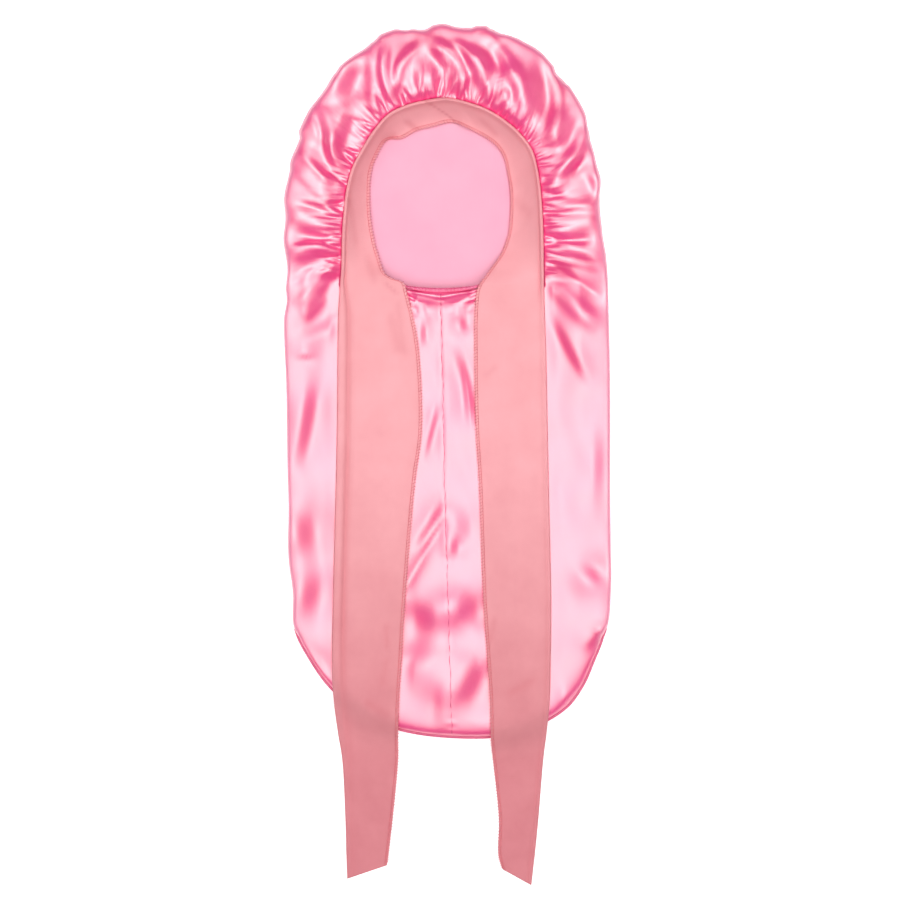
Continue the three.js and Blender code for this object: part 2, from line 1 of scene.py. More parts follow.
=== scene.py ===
# %% [markdown]
# # A satin sleep bonnet for long braids
# The bonnet lies flat on its back layer with the face opening upwards. A glossy pink bag is gathered into
# a soft knit band, and the band runs on as two long ties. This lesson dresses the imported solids: every
# cloth is a surface worked out with numpy, in millimetres, in the solids' own frame.

import bpy
import numpy as np
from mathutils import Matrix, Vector


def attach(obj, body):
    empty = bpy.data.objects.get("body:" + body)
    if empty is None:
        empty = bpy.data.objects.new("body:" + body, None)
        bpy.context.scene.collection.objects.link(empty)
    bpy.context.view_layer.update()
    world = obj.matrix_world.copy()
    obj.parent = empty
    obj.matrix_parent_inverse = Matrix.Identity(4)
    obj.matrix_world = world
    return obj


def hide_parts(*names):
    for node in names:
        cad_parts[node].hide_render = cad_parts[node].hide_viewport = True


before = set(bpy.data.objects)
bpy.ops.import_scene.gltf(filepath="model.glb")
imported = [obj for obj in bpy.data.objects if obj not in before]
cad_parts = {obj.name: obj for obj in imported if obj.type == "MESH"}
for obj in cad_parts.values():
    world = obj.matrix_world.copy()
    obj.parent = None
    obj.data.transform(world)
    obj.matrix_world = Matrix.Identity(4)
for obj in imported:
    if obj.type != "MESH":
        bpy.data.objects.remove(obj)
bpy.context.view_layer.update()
MM = 0.001
print("packed solids:", sorted(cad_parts))

# %% [markdown]
# ## Camera
# The photograph looks straight down, with almost no perspective. A very long lens from far above gives
# that look, and its view is fitted so that one pixel covers one millimetre of the table.

# %% Place the camera straight above
VIEW_WIDTH = 900 * MM
VIEW_CENTRE = (2.5 * MM, 5.5 * MM)
CAMERA_HEIGHT = 6.0
# the level at which a pixel covers just one millimetre
SCALE_LEVEL = 12 * MM
SENSOR_WIDTH = 36
camera_data = bpy.data.cameras.new("above")
camera_data.sensor_width = SENSOR_WIDTH
camera_data.lens = SENSOR_WIDTH * (CAMERA_HEIGHT - SCALE_LEVEL) / VIEW_WIDTH
camera = bpy.data.objects.new("above", camera_data)
camera.location = (*VIEW_CENTRE, CAMERA_HEIGHT)
bpy.context.collection.objects.link(camera)
bpy.context.scene.camera = camera
print(f"lens {camera_data.lens:.0f} mm")

# %% [markdown]
# ## Curves and distances
# The shapes start from tables of points. A smooth curve runs through each table, and most of the cloth's
# height comes from how far a point of the plan is from such a curve. The helpers work on whole arrays.


# %% Helpers for curves
def smooth(t):
    """Rises from 0 to 1 with level ends: 3 t squared minus 2 t cubed, with t held between 0 and 1."""
    u = np.clip(t, 0, 1)
    return u * u * (3 - 2 * u)


def mix(a, b, t):
    """Goes from a to b as t goes from 0 to 1."""
    return a + (b - a) * t


def curve_at(points, at, closed=False):
    """A smooth curve through points. Between two points it is a cubic whose slopes come from the chords
    to the neighbours, each chord weighed by the square root of its length (centripetal Catmull-Rom)."""
    points = np.asarray(points, float)
    count = len(points)
    if closed:
        place = (np.asarray(at, float) % 1) * count
        first = np.floor(place).astype(int) % count
        p0, p1, p2, p3 = (points[(first + k) % count] for k in (-1, 0, 1, 2))
        part = place - np.floor(place)
    else:
        place = np.clip(at, 0, 1) * (count - 1)
        first = np.minimum(np.floor(place).astype(int), count - 2)
        longer = np.vstack([2 * points[0] - points[1], points, 2 * points[-1] - points[-2]])
        p0, p1, p2, p3 = (longer[first + k] for k in range(4))
        part = place - first
    pairs = (p0, p1), (p1, p2), (p2, p3)
    before, here, after = (np.sqrt(np.linalg.norm(b - a, axis=-1, keepdims=True)) + 1e-6 for a, b in pairs)
    slope1 = here * ((p1 - p0) / before - (p2 - p0) / (before + here) + (p2 - p1) / here)
    slope2 = here * ((p2 - p1) / here - (p3 - p1) / (here + after) + (p3 - p2) / after)
    t = part[..., None]
    bend = -3 * p1 + 3 * p2 - 2 * slope1 - slope2
    return p1 + slope1 * t + bend * t**2 + (2 * p1 - 2 * p2 + slope1 + slope2) * t**3


def unit(ways):
    """Scales each vector to length 1."""
    return ways / np.linalg.norm(ways, axis=-1, keepdims=True)


def way_along(points, at):
    """Direction of the closed curve through points."""
    step = 1e-4
    return unit(curve_at(points, at + step, closed=True) - curve_at(points, at - step, closed=True))


def right_of(ways):
    """Each plan direction, turned a quarter to the right."""
    return np.stack([ways[..., 1], -ways[..., 0]], -1)


def lengths_along(line):
    """Distance along a chain of points, starting at 0."""
    steps = np.linalg.norm(np.diff(line, axis=0), axis=1)
    return np.concatenate([[0], np.cumsum(steps)])


def nearest_on(line, plan, block=6000):
    """The nearest point of a line for each plan point: its distance, its place along the line in
    millimetres, and the side, positive on the left of the line's direction."""
    start, step = line[:-1], np.diff(line, axis=0)
    run = lengths_along(line)
    square = (step**2).sum(1)
    found = [np.zeros((0, 3))]
    for at in range(0, len(plan), block):
        off = plan[at : at + block, None] - start
        t = np.clip((off * step).sum(2) / square, 0, 1)
        gap = off - t[..., None] * step
        best = (gap**2).sum(2).argmin(1)
        row = np.arange(len(best))
        near, way = gap[row, best], step[best]
        side = np.sign(way[:, 0] * near[:, 1] - way[:, 1] * near[:, 0])
        along = run[best] + t[row, best] * np.sqrt(square[best])
        found.append(np.stack([np.linalg.norm(near, axis=1), along, side], 1))
    return np.concatenate(found).T


# %% [markdown]
# ## Meshes from arrays
# A grid of points becomes four-sided faces. The volume that a closed surface encloses tells whether its
# faces look outwards, so each closed piece is turned the right way when it is made.


# %% Helpers for meshes
def tube_faces(rings, sides):
    """Four-sided faces of a tube whose points are stored ring by ring."""
    ring, side = np.meshgrid(np.arange(rings - 1), np.arange(sides), indexing="ij")
    here, beside = ring * sides + side, ring * sides + (side + 1) % sides
    return np.stack([here, beside, beside + sides, here + sides], -1).reshape(-1, 4)


def enclosed(points, quads):
    """Volume inside a closed surface: a sixth of each triangle's a . (b x c), added up."""
    a, b, c, d = (points[quads[:, k]] for k in range(4))
    return ((a * np.cross(b, c)).sum() + (a * np.cross(c, d)).sum()) / 6


def new_piece(name, points, quads):
    """Makes a mesh object from points in millimetres and four-sided faces, facing outwards. A face with
    two equal corners is stored as a triangle."""
    if enclosed(points, quads) < 0:
        quads = quads[:, ::-1]
    mesh = bpy.data.meshes.new(name)
    faces = [tuple(dict.fromkeys(face)) for face in quads.tolist()]
    mesh.from_pydata((points * MM).tolist(), [], faces)
    mesh.polygons.foreach_set("use_smooth", np.ones(len(mesh.polygons), bool))
    mesh.update()
    piece = bpy.data.objects.new(name, mesh)
    bpy.context.collection.objects.link(piece)
    print(f"{name}: {len(points)} points, {sum(len(f) - 2 for f in faces)} triangles")
    return piece


def give_uv(piece, point_uv):
    """Writes a UV map from one pair of numbers for each point, in metres of cloth."""
    layer = piece.data.uv_layers.new(name="cloth")
    corner = np.empty(len(piece.data.loops), np.int32)
    piece.data.loops.foreach_get("vertex_index", corner)
    layer.data.foreach_set("uv", point_uv[corner].astype(np.float32).ravel())


def give_value(piece, name, values):
    """Stores one number for each point, for the materials to read."""
    store = piece.data.attributes.new(name, "FLOAT", "POINT")
    store.data.foreach_set("value", values.astype(np.float32))


# %% [markdown]
# ## The outlines
# The bag's sections pair a point on the seam round the opening with a point on the outline, clockwise
# from the middle of the crown. The strip's table follows one long knit strip from the left tie's tip,
# over the crown, to the right tie's tip. They follow the tables that the solids were made from. All
# lengths in the tables are millimetres.

# %% Tables of the plan
# thickness of the bag's wall and of the doubled knit, height of the lying sleeve and of a tie on it
SATIN_WALL, KNIT, SLEEVE_TOP, TIE_SEAT = 1.2, 2.0, 16.5, 17.2
# where the band turns into the ties
CORNER_Y = 172
HEM_WIDTH, HEM_OVERLAP, HEM_START_Y = 3.2, 0.8, -176
# y of the nape casing's ends, how far its middle sags, and its width
NAPE_Y, NAPE_SAG, NAPE_WIDTH = 169.6, 4.4, 4.4
# columns of the surface, seam x, seam y, outline x, outline y
SECTIONS = np.array([
    [22, -2, 357, -6.5, 430.5], [22, 22.5, 352.5, 30, 427], [22, 46.5, 341.5, 66.5, 418.5],
    [22, 67.5, 326.5, 98.5, 396.5], [22, 83.5, 305.5, 127.5, 358.5], [22, 90.5, 283.5, 144.5, 315.5],
    [22, 94.5, 249.5, 152.5, 265.5], [22, 96, 221.5, 155.5, 223.5], [20, 97, 193.5, 159.5, 180.5],
    [18, 97.3, 176, 161, 145], [18, 88, 166, 163, 60], [16, 67.5, 166, 163.5, -30],
    [14, 47.5, 166, 163.5, -124.5], [14, 32.5, 166, 155.5, -184.5], [14, 18.5, 166, 127.5, -244.5],
    [24, 7.5, 166, 72.5, -277.5], [24, -6, 166, 4, -282.5], [14, -16.5, 166, -62.5, -270],
    [14, -27.5, 166, -115.5, -234.5], [14, -42.5, 166, -148.5, -184.5], [16, -57.5, 166, -156.5, -124.5],
    [18, -77.5, 166, -160.5, -30], [18, -98, 166, -161.5, 60], [20, -107.5, 176, -162, 135],
    [22, -106, 193.5, -160, 180.5], [22, -105.5, 221.5, -163.5, 220.5], [22, -103.5, 249.5, -161.5, 258.5],
    [22, -97.5, 279.5, -154.5, 300.5], [22, -85.5, 305.5, -139.5, 339.5], [22, -67.5, 332.5, -111.5, 381.5],
    [22, -47.5, 347.5, -73.5, 410.5], [22, -24.5, 354.5, -38.5, 423.5],
])
# where along the sections the cloth's folds push the outline out (or in), in millimetres
OUTLINE_BUMPS = np.array([
    [0, 0.5], [0.5, -2.5], [0.8, -1.5], [1.0, 2], [1.2, 3], [1.4, 0.5], [1.6, -1.5], [2.2, -0.5], [2.8, 1],
    [3.2, 0], [3.4, -3], [3.6, -1.5], [3.8, 0.5], [4.4, 1.5], [4.8, -1], [5.0, -2], [5.4, -1], [5.8, 1.5],
    [6.2, -1.5], [6.4, -2], [7.0, -1], [7.6, 0.5], [9, 0], [11.6, -1], [12.2, 0.8], [12.6, 1.5], [12.8, 1.4],
    [13.0, 0.5], [13.4, -1], [13.8, -0.5], [14.2, 1], [15, 0.5], [18, 1], [18.6, 0], [19.2, 1.8], [19.8, -1],
    [20.3, 1], [20.8, -1], [22, -0.5], [23, 1.4], [23.4, -0.5], [23.7, 1.2], [24.2, -0.5], [24.8, 0.5],
    [25.4, -1.5], [26, 1.5], [26.6, -0.5], [26.8, 0.5], [27.4, -2], [27.6, 1.5], [28, 1.5], [28.6, -1.5],
    [29, 0.5], [29.2, 2], [29.8, 1], [30, 2.5], [30.3, 6], [30.6, 6], [31, 1.5], [31.5, -2.8], [31.8, 0],
    [32, 0.5],
])
# level y: height of the gathered puff, width of the roll down to the outline, height of the outline,
# width of the roll back in under it
LEVELS = np.array([
    [432, 36, 32, 19, 12], [330, 36, 32, 19, 12], [250, 34, 31, 19, 12], [210, 31.5, 30, 18, 12],
    [172, 26, 28, 15.5, 10], [150, 23.5, 26, 14, 10], [90, 20.5, 22, 11, 8], [20, 18, 17, 7, 6],
    [-170, 17, 19, 6.5, 6], [-225, 16, 29, 4, 4.5], [-285, 15, 34, 3, 4],
])[::-1]
# outer edge x, y, inner edge x, y, top of the roll, top at the inner edge, width of the roll, its rise
# above the sheet, and how hollow the sheet hangs
STRIP = np.array([
    [-100.5, -424, -60.5, -410.5, 19.6, 19.2, 7, 0.4, 1],
    [-101.5, -394.5, -58.5, -394.5, 19.6, 19.2, 7, 0.4, 1],
    [-102.3, -364.5, -55, -364.5, 19.6, 19.2, 7, 0.4, 1],
    [-105.5, -304.5, -49.5, -304.5, 19.6, 19.2, 8, 0.4, 1],
    [-109.5, -279.5, -49.5, -284.5, 19.8, 19.2, 10, 0.6, 1],
    [-114, -244.5, -48.5, -244.5, 20.2, 19.2, 11, 1, 1],
    [-115.5, -204.5, -46, -204.5, 20.6, 19.2, 11, 1.4, 1],
    [-114.5, -144.5, -42.5, -144.5, 20.8, 19.2, 10.5, 1.6, 1],
    [-111.5, -24.5, -32.5, -24.5, 20.8, 19.2, 10.5, 1.6, 1],
    [-110.5, 25.5, -26, 25.5, 20.8, 19.2, 10.5, 1.6, 1],
    [-109.8, 105.5, -29, 105.5, 20.8, 19.2, 10.5, 1.6, 1], [-109.3, 140, -35, 140, 21, 19.2, 10, 1.8, 1],
    [-108, 164, -41, 164, 21.4, 19.2, 6, 2.2, 1], [-107.6, 171.4, -43.5, 172.6, 21.7, 19.3, 5, 2.4, 1.2],
    [-107, 177.5, -54.5, 176.5, 22.3, 17.5, 4.4, 2.4, 1.4],
    [-106.5, 183.5, -62.5, 182, 23.4, 14, 4.4, 2.4, 1.6],
    [-106, 197.5, -68.5, 197.5, 26.3, 8, 4.4, 2.4, 1.6],
    [-105.5, 217.5, -73.5, 215.5, 29.6, 5.5, 4.4, 2.4, 1.6],
    [-104, 240.5, -77, 237.5, 31.6, 5.3, 4.4, 2.4, 1.6],
    [-101, 265.5, -78, 260.5, 32.4, 5.3, 4.4, 2.4, 1.6],
    [-95.5, 286.5, -76.5, 283.5, 33, 5.3, 4.4, 2.4, 1.6],
    [-86.5, 304.5, -70.5, 300.5, 33.5, 5.3, 4.4, 2.4, 1.6],
    [-74.5, 323.5, -60.5, 315.5, 34, 5.3, 4.4, 2.4, 1.6],
    [-59.5, 340.5, -45.5, 317.5, 34, 5.3, 4.4, 2.4, 1.6],
    [-41.5, 349.5, -31.5, 325, 34, 5.3, 4.4, 2.4, 1.6],
    [-21.5, 354.5, -14.5, 329.5, 34, 5.3, 4.4, 2.4, 1.6], [-1.5, 357, 4.5, 333.5, 34, 5.3, 4.4, 2.4, 1.6],
    [18.5, 353, 21.5, 327, 34, 5.3, 4.4, 2.4, 1.6], [38.5, 346, 38, 318.5, 34, 5.3, 4.4, 2.4, 1.6],
    [57.5, 334.5, 49.5, 309.5, 34, 5.3, 4.4, 2.4, 1.6],
    [72.5, 321.5, 56.5, 298.5, 33.5, 5.3, 4.4, 2.4, 1.6],
    [84.5, 305, 60.5, 280.5, 33.2, 5.3, 4.4, 2.4, 1.6], [90.5, 283.5, 63, 263.5, 32.8, 5.3, 4.4, 2.4, 1.6],
    [94, 255.5, 63, 243.5, 32.2, 5.3, 4.4, 2.4, 1.6], [95.5, 230.5, 61, 222.5, 31, 5.3, 4.4, 2.4, 1.6],
    [96.2, 207.5, 54, 202.5, 28.2, 6, 4.4, 2.4, 1.6], [96.5, 189.5, 43, 186.5, 24.8, 11, 4.4, 2.4, 1.6],
    [96.7, 178.5, 34.5, 174.5, 22.6, 16.5, 4.4, 2.4, 1.4],
    [96.6, 172.2, 31.5, 170.3, 21.7, 19.3, 4.4, 2.4, 1.2], [96.7, 164, 29.2, 164, 20.4, 19.2, 4.4, 1.2, 1],
    [97.3, 140, 27.2, 140, 19.8, 19.2, 4.4, 0.6, 1], [98.5, 105.5, 27, 105.5, 19.7, 19.2, 4.4, 0.5, 1],
    [100, 25.5, 28.5, 25.5, 19.7, 19.2, 4.4, 0.5, 1], [101, -24.5, 31.5, -24.5, 19.7, 19.2, 4.4, 0.5, 1],
    [103.5, -144.5, 36, -144.5, 19.7, 19.2, 4.4, 0.5, 1],
    [103, -204.5, 40, -204.5, 19.7, 19.2, 4.4, 0.5, 1],
    [102, -244.5, 42.5, -244.5, 19.7, 19.2, 4.4, 0.5, 1], [99.5, -275, 43.5, -285, 19.7, 19.2, 4.4, 0.5, 1],
    [96, -304.5, 45.5, -304.5, 19.7, 19.2, 4.4, 0.5, 1],
    [91, -364.5, 51.5, -364.5, 19.7, 19.2, 4.4, 0.5, 1], [87.5, -400, 51, -400, 19.7, 19.2, 4.4, 0.5, 1],
    [84, -430.5, 55, -414.5, 19.7, 19.2, 4.4, 0.5, 1],
])
# distance inside the bag's outline, and height of a tie's underside there
TIE_DROP = np.array([
    [-36, 0], [-25, 0.6], [-14, 3], [-6, 7], [0, 11.2], [5, 14.4], [10, 16.7], [15, TIE_SEAT],
])

# %% The lines that heights are measured from
seam_points, edge_points = SECTIONS[:, 1:3], SECTIONS[:, 3:5]
edge_at = np.linspace(0, 1, 481)
edge_line = curve_at(edge_points, edge_at, closed=True)
strip_at = np.linspace(0, 1, 361)
outer_line = curve_at(STRIP[:, 0:2], strip_at)
inner_line = curve_at(STRIP[:, 2:4], strip_at)
print(f"outline {lengths_along(edge_line)[-1]:.0f} mm, knit strip {lengths_along(outer_line)[-1]:.0f} mm")

# %% [markdown]
# ## The folds
# Gathered satin shows a few big folds, and many small tucks where it is pulled into the band. The big
# forms are drawn one by one after the photograph, in three kinds. A fold is a curve through three points
# with a width and a rise: a rounded ridge, or a creased valley where the rise is negative. A step is a
# strip along such a curve where the cloth falls to one side. A dent is a round patch that slopes one
# way. Satin shows its strong pink where it slopes by about 20 to 45 degrees, and reflects the lights
# where it is flatter and the floor where it is steeper. So steps and dents give the broad dark patches.

# %% Folds, steps and dents
# from x, y, over x, y, to x, y, width, rise
CROWN_FOLDS = np.array([
    [-70.5, 334.5, -72, 370.5, -73.5, 407.5, 8, 4.8], [-62.5, 413.5, -62, 380.5, -55.5, 345.5, 5.5, 4.8],
    [-23.5, 414.5, -47.5, 387.5, -51.5, 352.5, 5.5, 4.6], [-23.5, 416.5, 8.5, 395.5, 16.5, 357.5, 6.5, 5.6],
    [-1.5, 413.5, 28.5, 393.5, 37.5, 350.5, 6.5, 5], [34.5, 423.5, 52.5, 400.5, 66.5, 370.5, 7, 5],
    [52.5, 410.5, 68.5, 377.5, 76.5, 345.5, 7, 4.5], [97.5, 403.5, 109.5, 355.5, 101.5, 305.5, 7, 6],
    [139.5, 327.5, 122.5, 290.5, 95.5, 255.5, 8, 5.7], [142.5, 320.5, 134.5, 297.5, 124.5, 275.5, 7, -4],
    [97.5, 222.5, 127.5, 233.5, 152.5, 240.5, 12.3, 5.7], [97.5, 214.5, 122.5, 214.5, 147.5, 215.5, 6, -6],
    [97.5, 205.5, 127.5, 197.5, 157.5, 190.5, 8.7, 4.8], [97.5, 195.5, 127.5, 175.5, 157.5, 155.5, 8, -5],
    [97.5, 177.5, 124.5, 151.5, 152.5, 125.5, 8.7, 4.8],
    [-125.5, 350.5, -117.5, 320.5, -109.5, 290.5, 7.4, 4.8],
    [-147.5, 308.5, -129.5, 287.5, -112.5, 270.5, 8, 4.8],
    [-152.5, 290.5, -129.5, 265.5, -107.5, 247.5, 7.4, 4.8],
    [-160.5, 245.5, -133.5, 232.5, -107.5, 223.5, 9.9, 4.8],
    [-159.5, 210.5, -133.5, 214.5, -107.5, 219.5, 5, -4.5],
    [-160.5, 202.5, -133.5, 207.5, -107.5, 215.5, 8, 3.8],
    [-159.5, 170.5, -135.5, 180.5, -112.5, 193.5, 7, -5],
    [-152.5, 145.5, -130.5, 167.5, -109.5, 193.5, 7.4, 4.8],
    [-147.5, 135.5, -135.5, 148, -122.5, 160.5, 6.1, 2.8],
])
SLEEVE_FOLDS = np.array([
    # below the casing: swags that hang from the ties' corners, and the dents between and under them
    [-44, 167, -26, 162.5, 1, 157, 2.5, 1.4], [32, 169, 11, 162.5, -13, 157, 2.5, 1.4],
    [-42, 156, -30, 150, -20, 142, 2.4, 1.5], [31, 159, 17, 152.5, 4, 144.5, 2.4, 1.3],
    [-42, 150, -35, 146, -28, 142, 1.7, -1.3], [31, 153, 23, 149, 16, 144, 2.8, -1.7],
    [-44, 161, -38, 158.5, -31, 155, 3.0, -1.5], [33, 164, 27, 162, 20, 159, 2.6, -1.2],
    # a long valley that runs down to the left tie
    [4, -56, -21, -95, -50, -146, 7.2, -3.1],
])
# steps: from x, y, over x, y, to x, y, width, slope, which is positive where the left side is the lower one
STEPS = np.array([
    # top of the crown, from left to right
    [-80, 402, -98, 380, -108, 345, 11.5, 0.66], [-95.5, 357, -103.5, 325, -115.5, 295, 7.5, 0.6],
    [-67.5, 409, -68, 379, -58.5, 350, 3, -0.62], [-21, 409, -7.5, 394, 5, 379, 5.2, -0.66],
    [2.5, 413.5, 16.5, 400.5, 23.5, 377, 3.6, -0.62], [4.5, 383.5, 1.5, 367.5, -1.5, 354, 3.1, -0.6],
    [22.5, 383, 19.5, 367.5, 17.5, 354, 2.4, 0.62], [30.5, 417.5, 40, 398, 51.5, 372, 8.5, 0.64],
    [56.5, 371, 61.5, 357.5, 58.5, 343, 4, 0.6], [76, 409, 88, 370.5, 87, 315, 13.5, 0.64],
    [128.5, 350, 119, 324, 111, 297, 7.4, 0.6],
    # right side, downwards
    [146, 305, 122.5, 287.5, 99, 265, 5.3, 0.6], [138, 287, 146, 270, 150, 252, 5.3, -0.59],
    [158, 242, 132.5, 245.5, 99, 239, 4, 0.57], [98, 214, 129.5, 201.5, 157, 193, 5.7, -0.65],
    # left side, downwards
    [-135, 345, -129.5, 327.5, -124, 307, 3.5, 0.55], [-123, 330, -118.5, 299.5, -106, 273, 4.4, -0.6],
    [-149, 307, -129.5, 287.5, -107, 265, 4, 0.6], [-158, 256, -132.5, 250.5, -107, 240, 4, -0.57],
    [-162, 213.5, -135.5, 214.5, -107, 209, 4.8, 0.64], [-160, 172, -135.5, 185.5, -107, 195, 5.3, 0.6],
    # middle of the sleeve, downwards
    [-46, 160, -26, 153.5, 0, 148.5, 5.6, -0.55], [-14, 148.5, 11, 155, 36, 163, 5.2, -0.55],
    [-23, 140, -24.5, 124, -23, 104, 3.6, -0.46], [3, 120, 19, 74, 25.5, 14, 6, 0.48],
    [-4, 62, -15, 30, -27, -12, 4.8, 0.46], [2, -38, -19, -73, -38, -102, 5.5, -0.62],
    [40, -192, 23, -228, 9, -262, 12, 0.52],
    # left and right strips
    [-131, 88, -141, 30, -152, -28, 7.4, 0.52], [99, 152, 118, 112, 146, 60, 5.1, -0.52],
])
# dents: x, y, downhill direction in degrees, half width downhill, half length across, slope
DENTS = np.array([
    # where the crown is pulled in above the band, from left to right
    [-44.5, 361, 180, 4.2, 9, 0.6], [-30.5, 374, 180, 5.4, 15, 0.62], [-13, 370, 0, 5, 13, 0.62],
    [37, 364, 180, 4.6, 12, 0.6], [-38, 402, 90, 14, 14, 0.3],
    # middle of the sleeve, downwards
    [15.5, 131.5, 20, 5, 9, 0.55], [6.5, -91.5, 0, 5, 9, 0.6], [15, -74, 0, 9, 20, 0.34],
    [20, -153, -12, 13.5, 18, 0.54], [-23, -160, 192, 13, 18, 0.42], [-29, -196, 120, 15, 22, 0.42],
    [-9, -247, 180, 7, 24, 0.34],
    # left strip, downwards
    [-142.5, 98.5, -90, 3, 9, 0.6], [-142, -76, 5, 11.5, 23, 0.54], [-137, -138, -5, 11.5, 25, 0.54],
    [-129, -211, 35, 7, 22, 0.56], [-128, 128, 120, 8, 22, 0.4],
    # right strip, downwards
    [138, 152, 50, 11, 24, 0.34], [145, -119, 49, 8, 16, 0.5], [148, -186, -53, 6, 12, 0.7],
    [122, -246, -45, 6, 13, 0.6], [150, -178, -140, 5, 9, 0.6], [151, -12, 0, 6, 34, 0.3],
])
# the rises in the two tables of folds are scaled by these
CROWN_DEPTH, SLEEVE_DEPTH = 0.58, 1.25
print(len(CROWN_FOLDS), "folds on the crown,", len(SLEEVE_FOLDS), "on the sleeve")
print(len(STEPS), "steps,", len(DENTS), "dents")


# %% Height of the folds, steps and dents
def crease(reach):
    """Section of a valley between two billows: exp(-1.3 |reach|) with its tip rounded off, so that the
    cloth is steepest near the bottom and levels out on both sides."""
    return np.exp(-1.3 * (np.sqrt(reach**2 + 0.09) - 0.3))


def tilt(reach):
    """Section of an even slope between two level parts: reach over the fourth root of (1 + reach to the
    power 4), fading as exp(-(reach / 2.5) squared)."""
    return reach / (1 + reach**4) ** 0.25 * np.exp(-((reach / 2.5) ** 2))


def faded(part, pace, start=0.0):
    """Rises from a curve's first end and falls again to its last, with part the share of the way."""
    return smooth(part * pace + start) * smooth((1 - part) * pace + start)


def beside_curve(row, plan):
    """The plan points near a row's curve: their numbers, their distance from it over the row's width,
    their side, positive on the left, and their share of the way along it."""
    width = row[6]
    line = curve_at(row[:6].reshape(3, 2), np.linspace(0, 1, 15))
    near = np.flatnonzero(((plan > line.min(0) - 5 * width) & (plan < line.max(0) + 5 * width)).all(1))
    distance, along, side = nearest_on(line, plan[near])
    return near, distance / width, side, along / lengths_along(line)[-1]


def fold_height(folds, depth, plan):
    """Adds up the folds. A ridge has a pillow for its section, exp(-|r| to the power 2.5), with r the
    distance over the width, and a valley has the crease's section. Each fades out at both ends."""
    lift = np.zeros(len(plan))
    for row in folds:
        near, reach, _, part = beside_curve(row, plan)
        section = np.exp(-(reach**2.5)) if row[7] > 0 else crease(reach)
        lift[near] += depth * row[7] * faded(part, 3.5, 0.1) * section
    return lift


def step_height(plan):
    """Adds up the steps: minus slope times width times tilt(r), with r the distance over the width,
    positive on the left. Each fades out at both ends."""
    lift = np.zeros(len(plan))
    for row in STEPS:
        near, reach, side, part = beside_curve(row, plan)
        lift[near] -= row[7] * row[6] * faded(part, 2.5) * tilt(side * reach)
    return lift


def dent_height(plan):
    """Adds up the dents: minus slope times width times tilt(u / width) exp(-(v / length) squared), with
    u the distance downhill and v the distance across."""
    lift = np.zeros(len(plan))
    for x, y, downhill, width, length, slope in DENTS:
        turn = np.radians(downhill)
        dx, dy = (plan - (x, y)).T
        u, v = dx * np.cos(turn) + dy * np.sin(turn), dy * np.cos(turn) - dx * np.sin(turn)
        lift -= slope * width * tilt(u / width) * np.exp(-((v / length) ** 2))
    return lift


# %% [markdown]
# The gathers are too many to draw one by one. Short tucks start at the band's seam, each at its own
# place, lean a little and die out on the puff. Long pleats run on over the puff to the outline. The left
# side is gathered more tightly than the right, so the tucks stand closer there. A fixed seed gives the
# same cloth in every run.

# %% Tucks and pleats along the band
dice = np.random.default_rng(23)
strip_run = lengths_along(outer_line)
strip_roll_top = np.interp(strip_at, np.linspace(0, 1, len(STRIP)), STRIP[:, 4])
# rows of the strip's table at the band's lower corners, and the gathers drawn at most between them
LEFT_CORNER, RIGHT_CORNER, MOST_GATHERS = 13, 38, 110


def run_at(point, run):
    """Length, read from run, where the strip's outer edge comes nearest to a point."""
    return run[np.argmin(np.hypot(*(outer_line - point).T))]


left_corner, right_corner = (run_at(STRIP[row, 0:2], strip_run) for row in (LEFT_CORNER, RIGHT_CORNER))


def gathers(pitches, uneven, depth, width, reach, lean):
    """A table of gathers from the left corner to the right corner: place along the seam, depth, width,
    reach and lean. The pitch goes through three values from left to right, and each of the others is
    drawn between two bounds."""
    pitch = np.interp(np.linspace(0, 1, MOST_GATHERS), [0, 0.45, 1], pitches)
    place = left_corner + 6 + np.cumsum(pitch * dice.uniform(1 - uneven, 1 + uneven, MOST_GATHERS))
    place = place[place < right_corner - 4]
    return np.stack([place, *(dice.uniform(*bounds, len(place)) for bounds in (depth, width, reach, lean))])


TUCKS = gathers((6.0, 7.5, 8.5), 0.4, (1.8, 3.8), (1.3, 2.2), (3.5, 8), (-0.35, 0.35))
PLEATS = gathers((13.0, 11.0, 15.0), 0.35, (1.0, 2.0), (2.2, 3.4), (5, 9), (-0.3, 0.3))
# distance from the seam at which a gather is twice as wide, and the distance where all have ended
TUCK_SPREAD, PLEAT_SPREAD, GATHERS_END = 22, 45, 90


def gather_height(table, spread, distance, along):
    """Each gather is a crease square to the seam that widens away from it. Its depth goes as t exp(1 - t),
    with t the distance from the seam over the gather's reach. The creases' mean over the whole seam is
    taken off, so that the gathers leave the puff as high as it was."""
    place, depth, width, reach, lean = table
    lift = np.zeros(len(distance))
    near = np.flatnonzero(distance < GATHERS_END)
    d, a = distance[near, None], along[near, None]
    t = d / reach
    wide = width * (1 + d / spread)
    mean = 2.3 * wide / (right_corner - left_corner)
    lift[near] = (depth * t * np.exp(1 - t) * (mean - crease((a - place - lean * d) / wide))).sum(1)
    return lift


print(TUCKS.shape[1], "tucks and", PLEATS.shape[1], "pleats along the band")

# %% [markdown]
# ## The front layer's height
# The bag's front layer rises from the band to the crest of the puff and rolls down to the outline. Under
# the ties it lies flat. The centre seam draws a fine groove down the sleeve, with short puckers beside it.

# %% Height of the satin over the plan
# width of the rise to the puff's crest, and where it starts beside a tie
PUFF_RUN, TIE_MARGIN = 28, 9
# how deep the satin dips where it is sewn in, and how fast it comes up again
SEAM_DIP, DIP_RUN = 2.2, 3.2
# folds level out this near to a tie, on the sleeve and beside the face, and this far in under it
CLEAR_SLEEVE, CLEAR_FACE, CLEAR_UNDER = 15, 9, 14
WAVE_HEIGHT, WAVE_PITCH = 0.55, 38
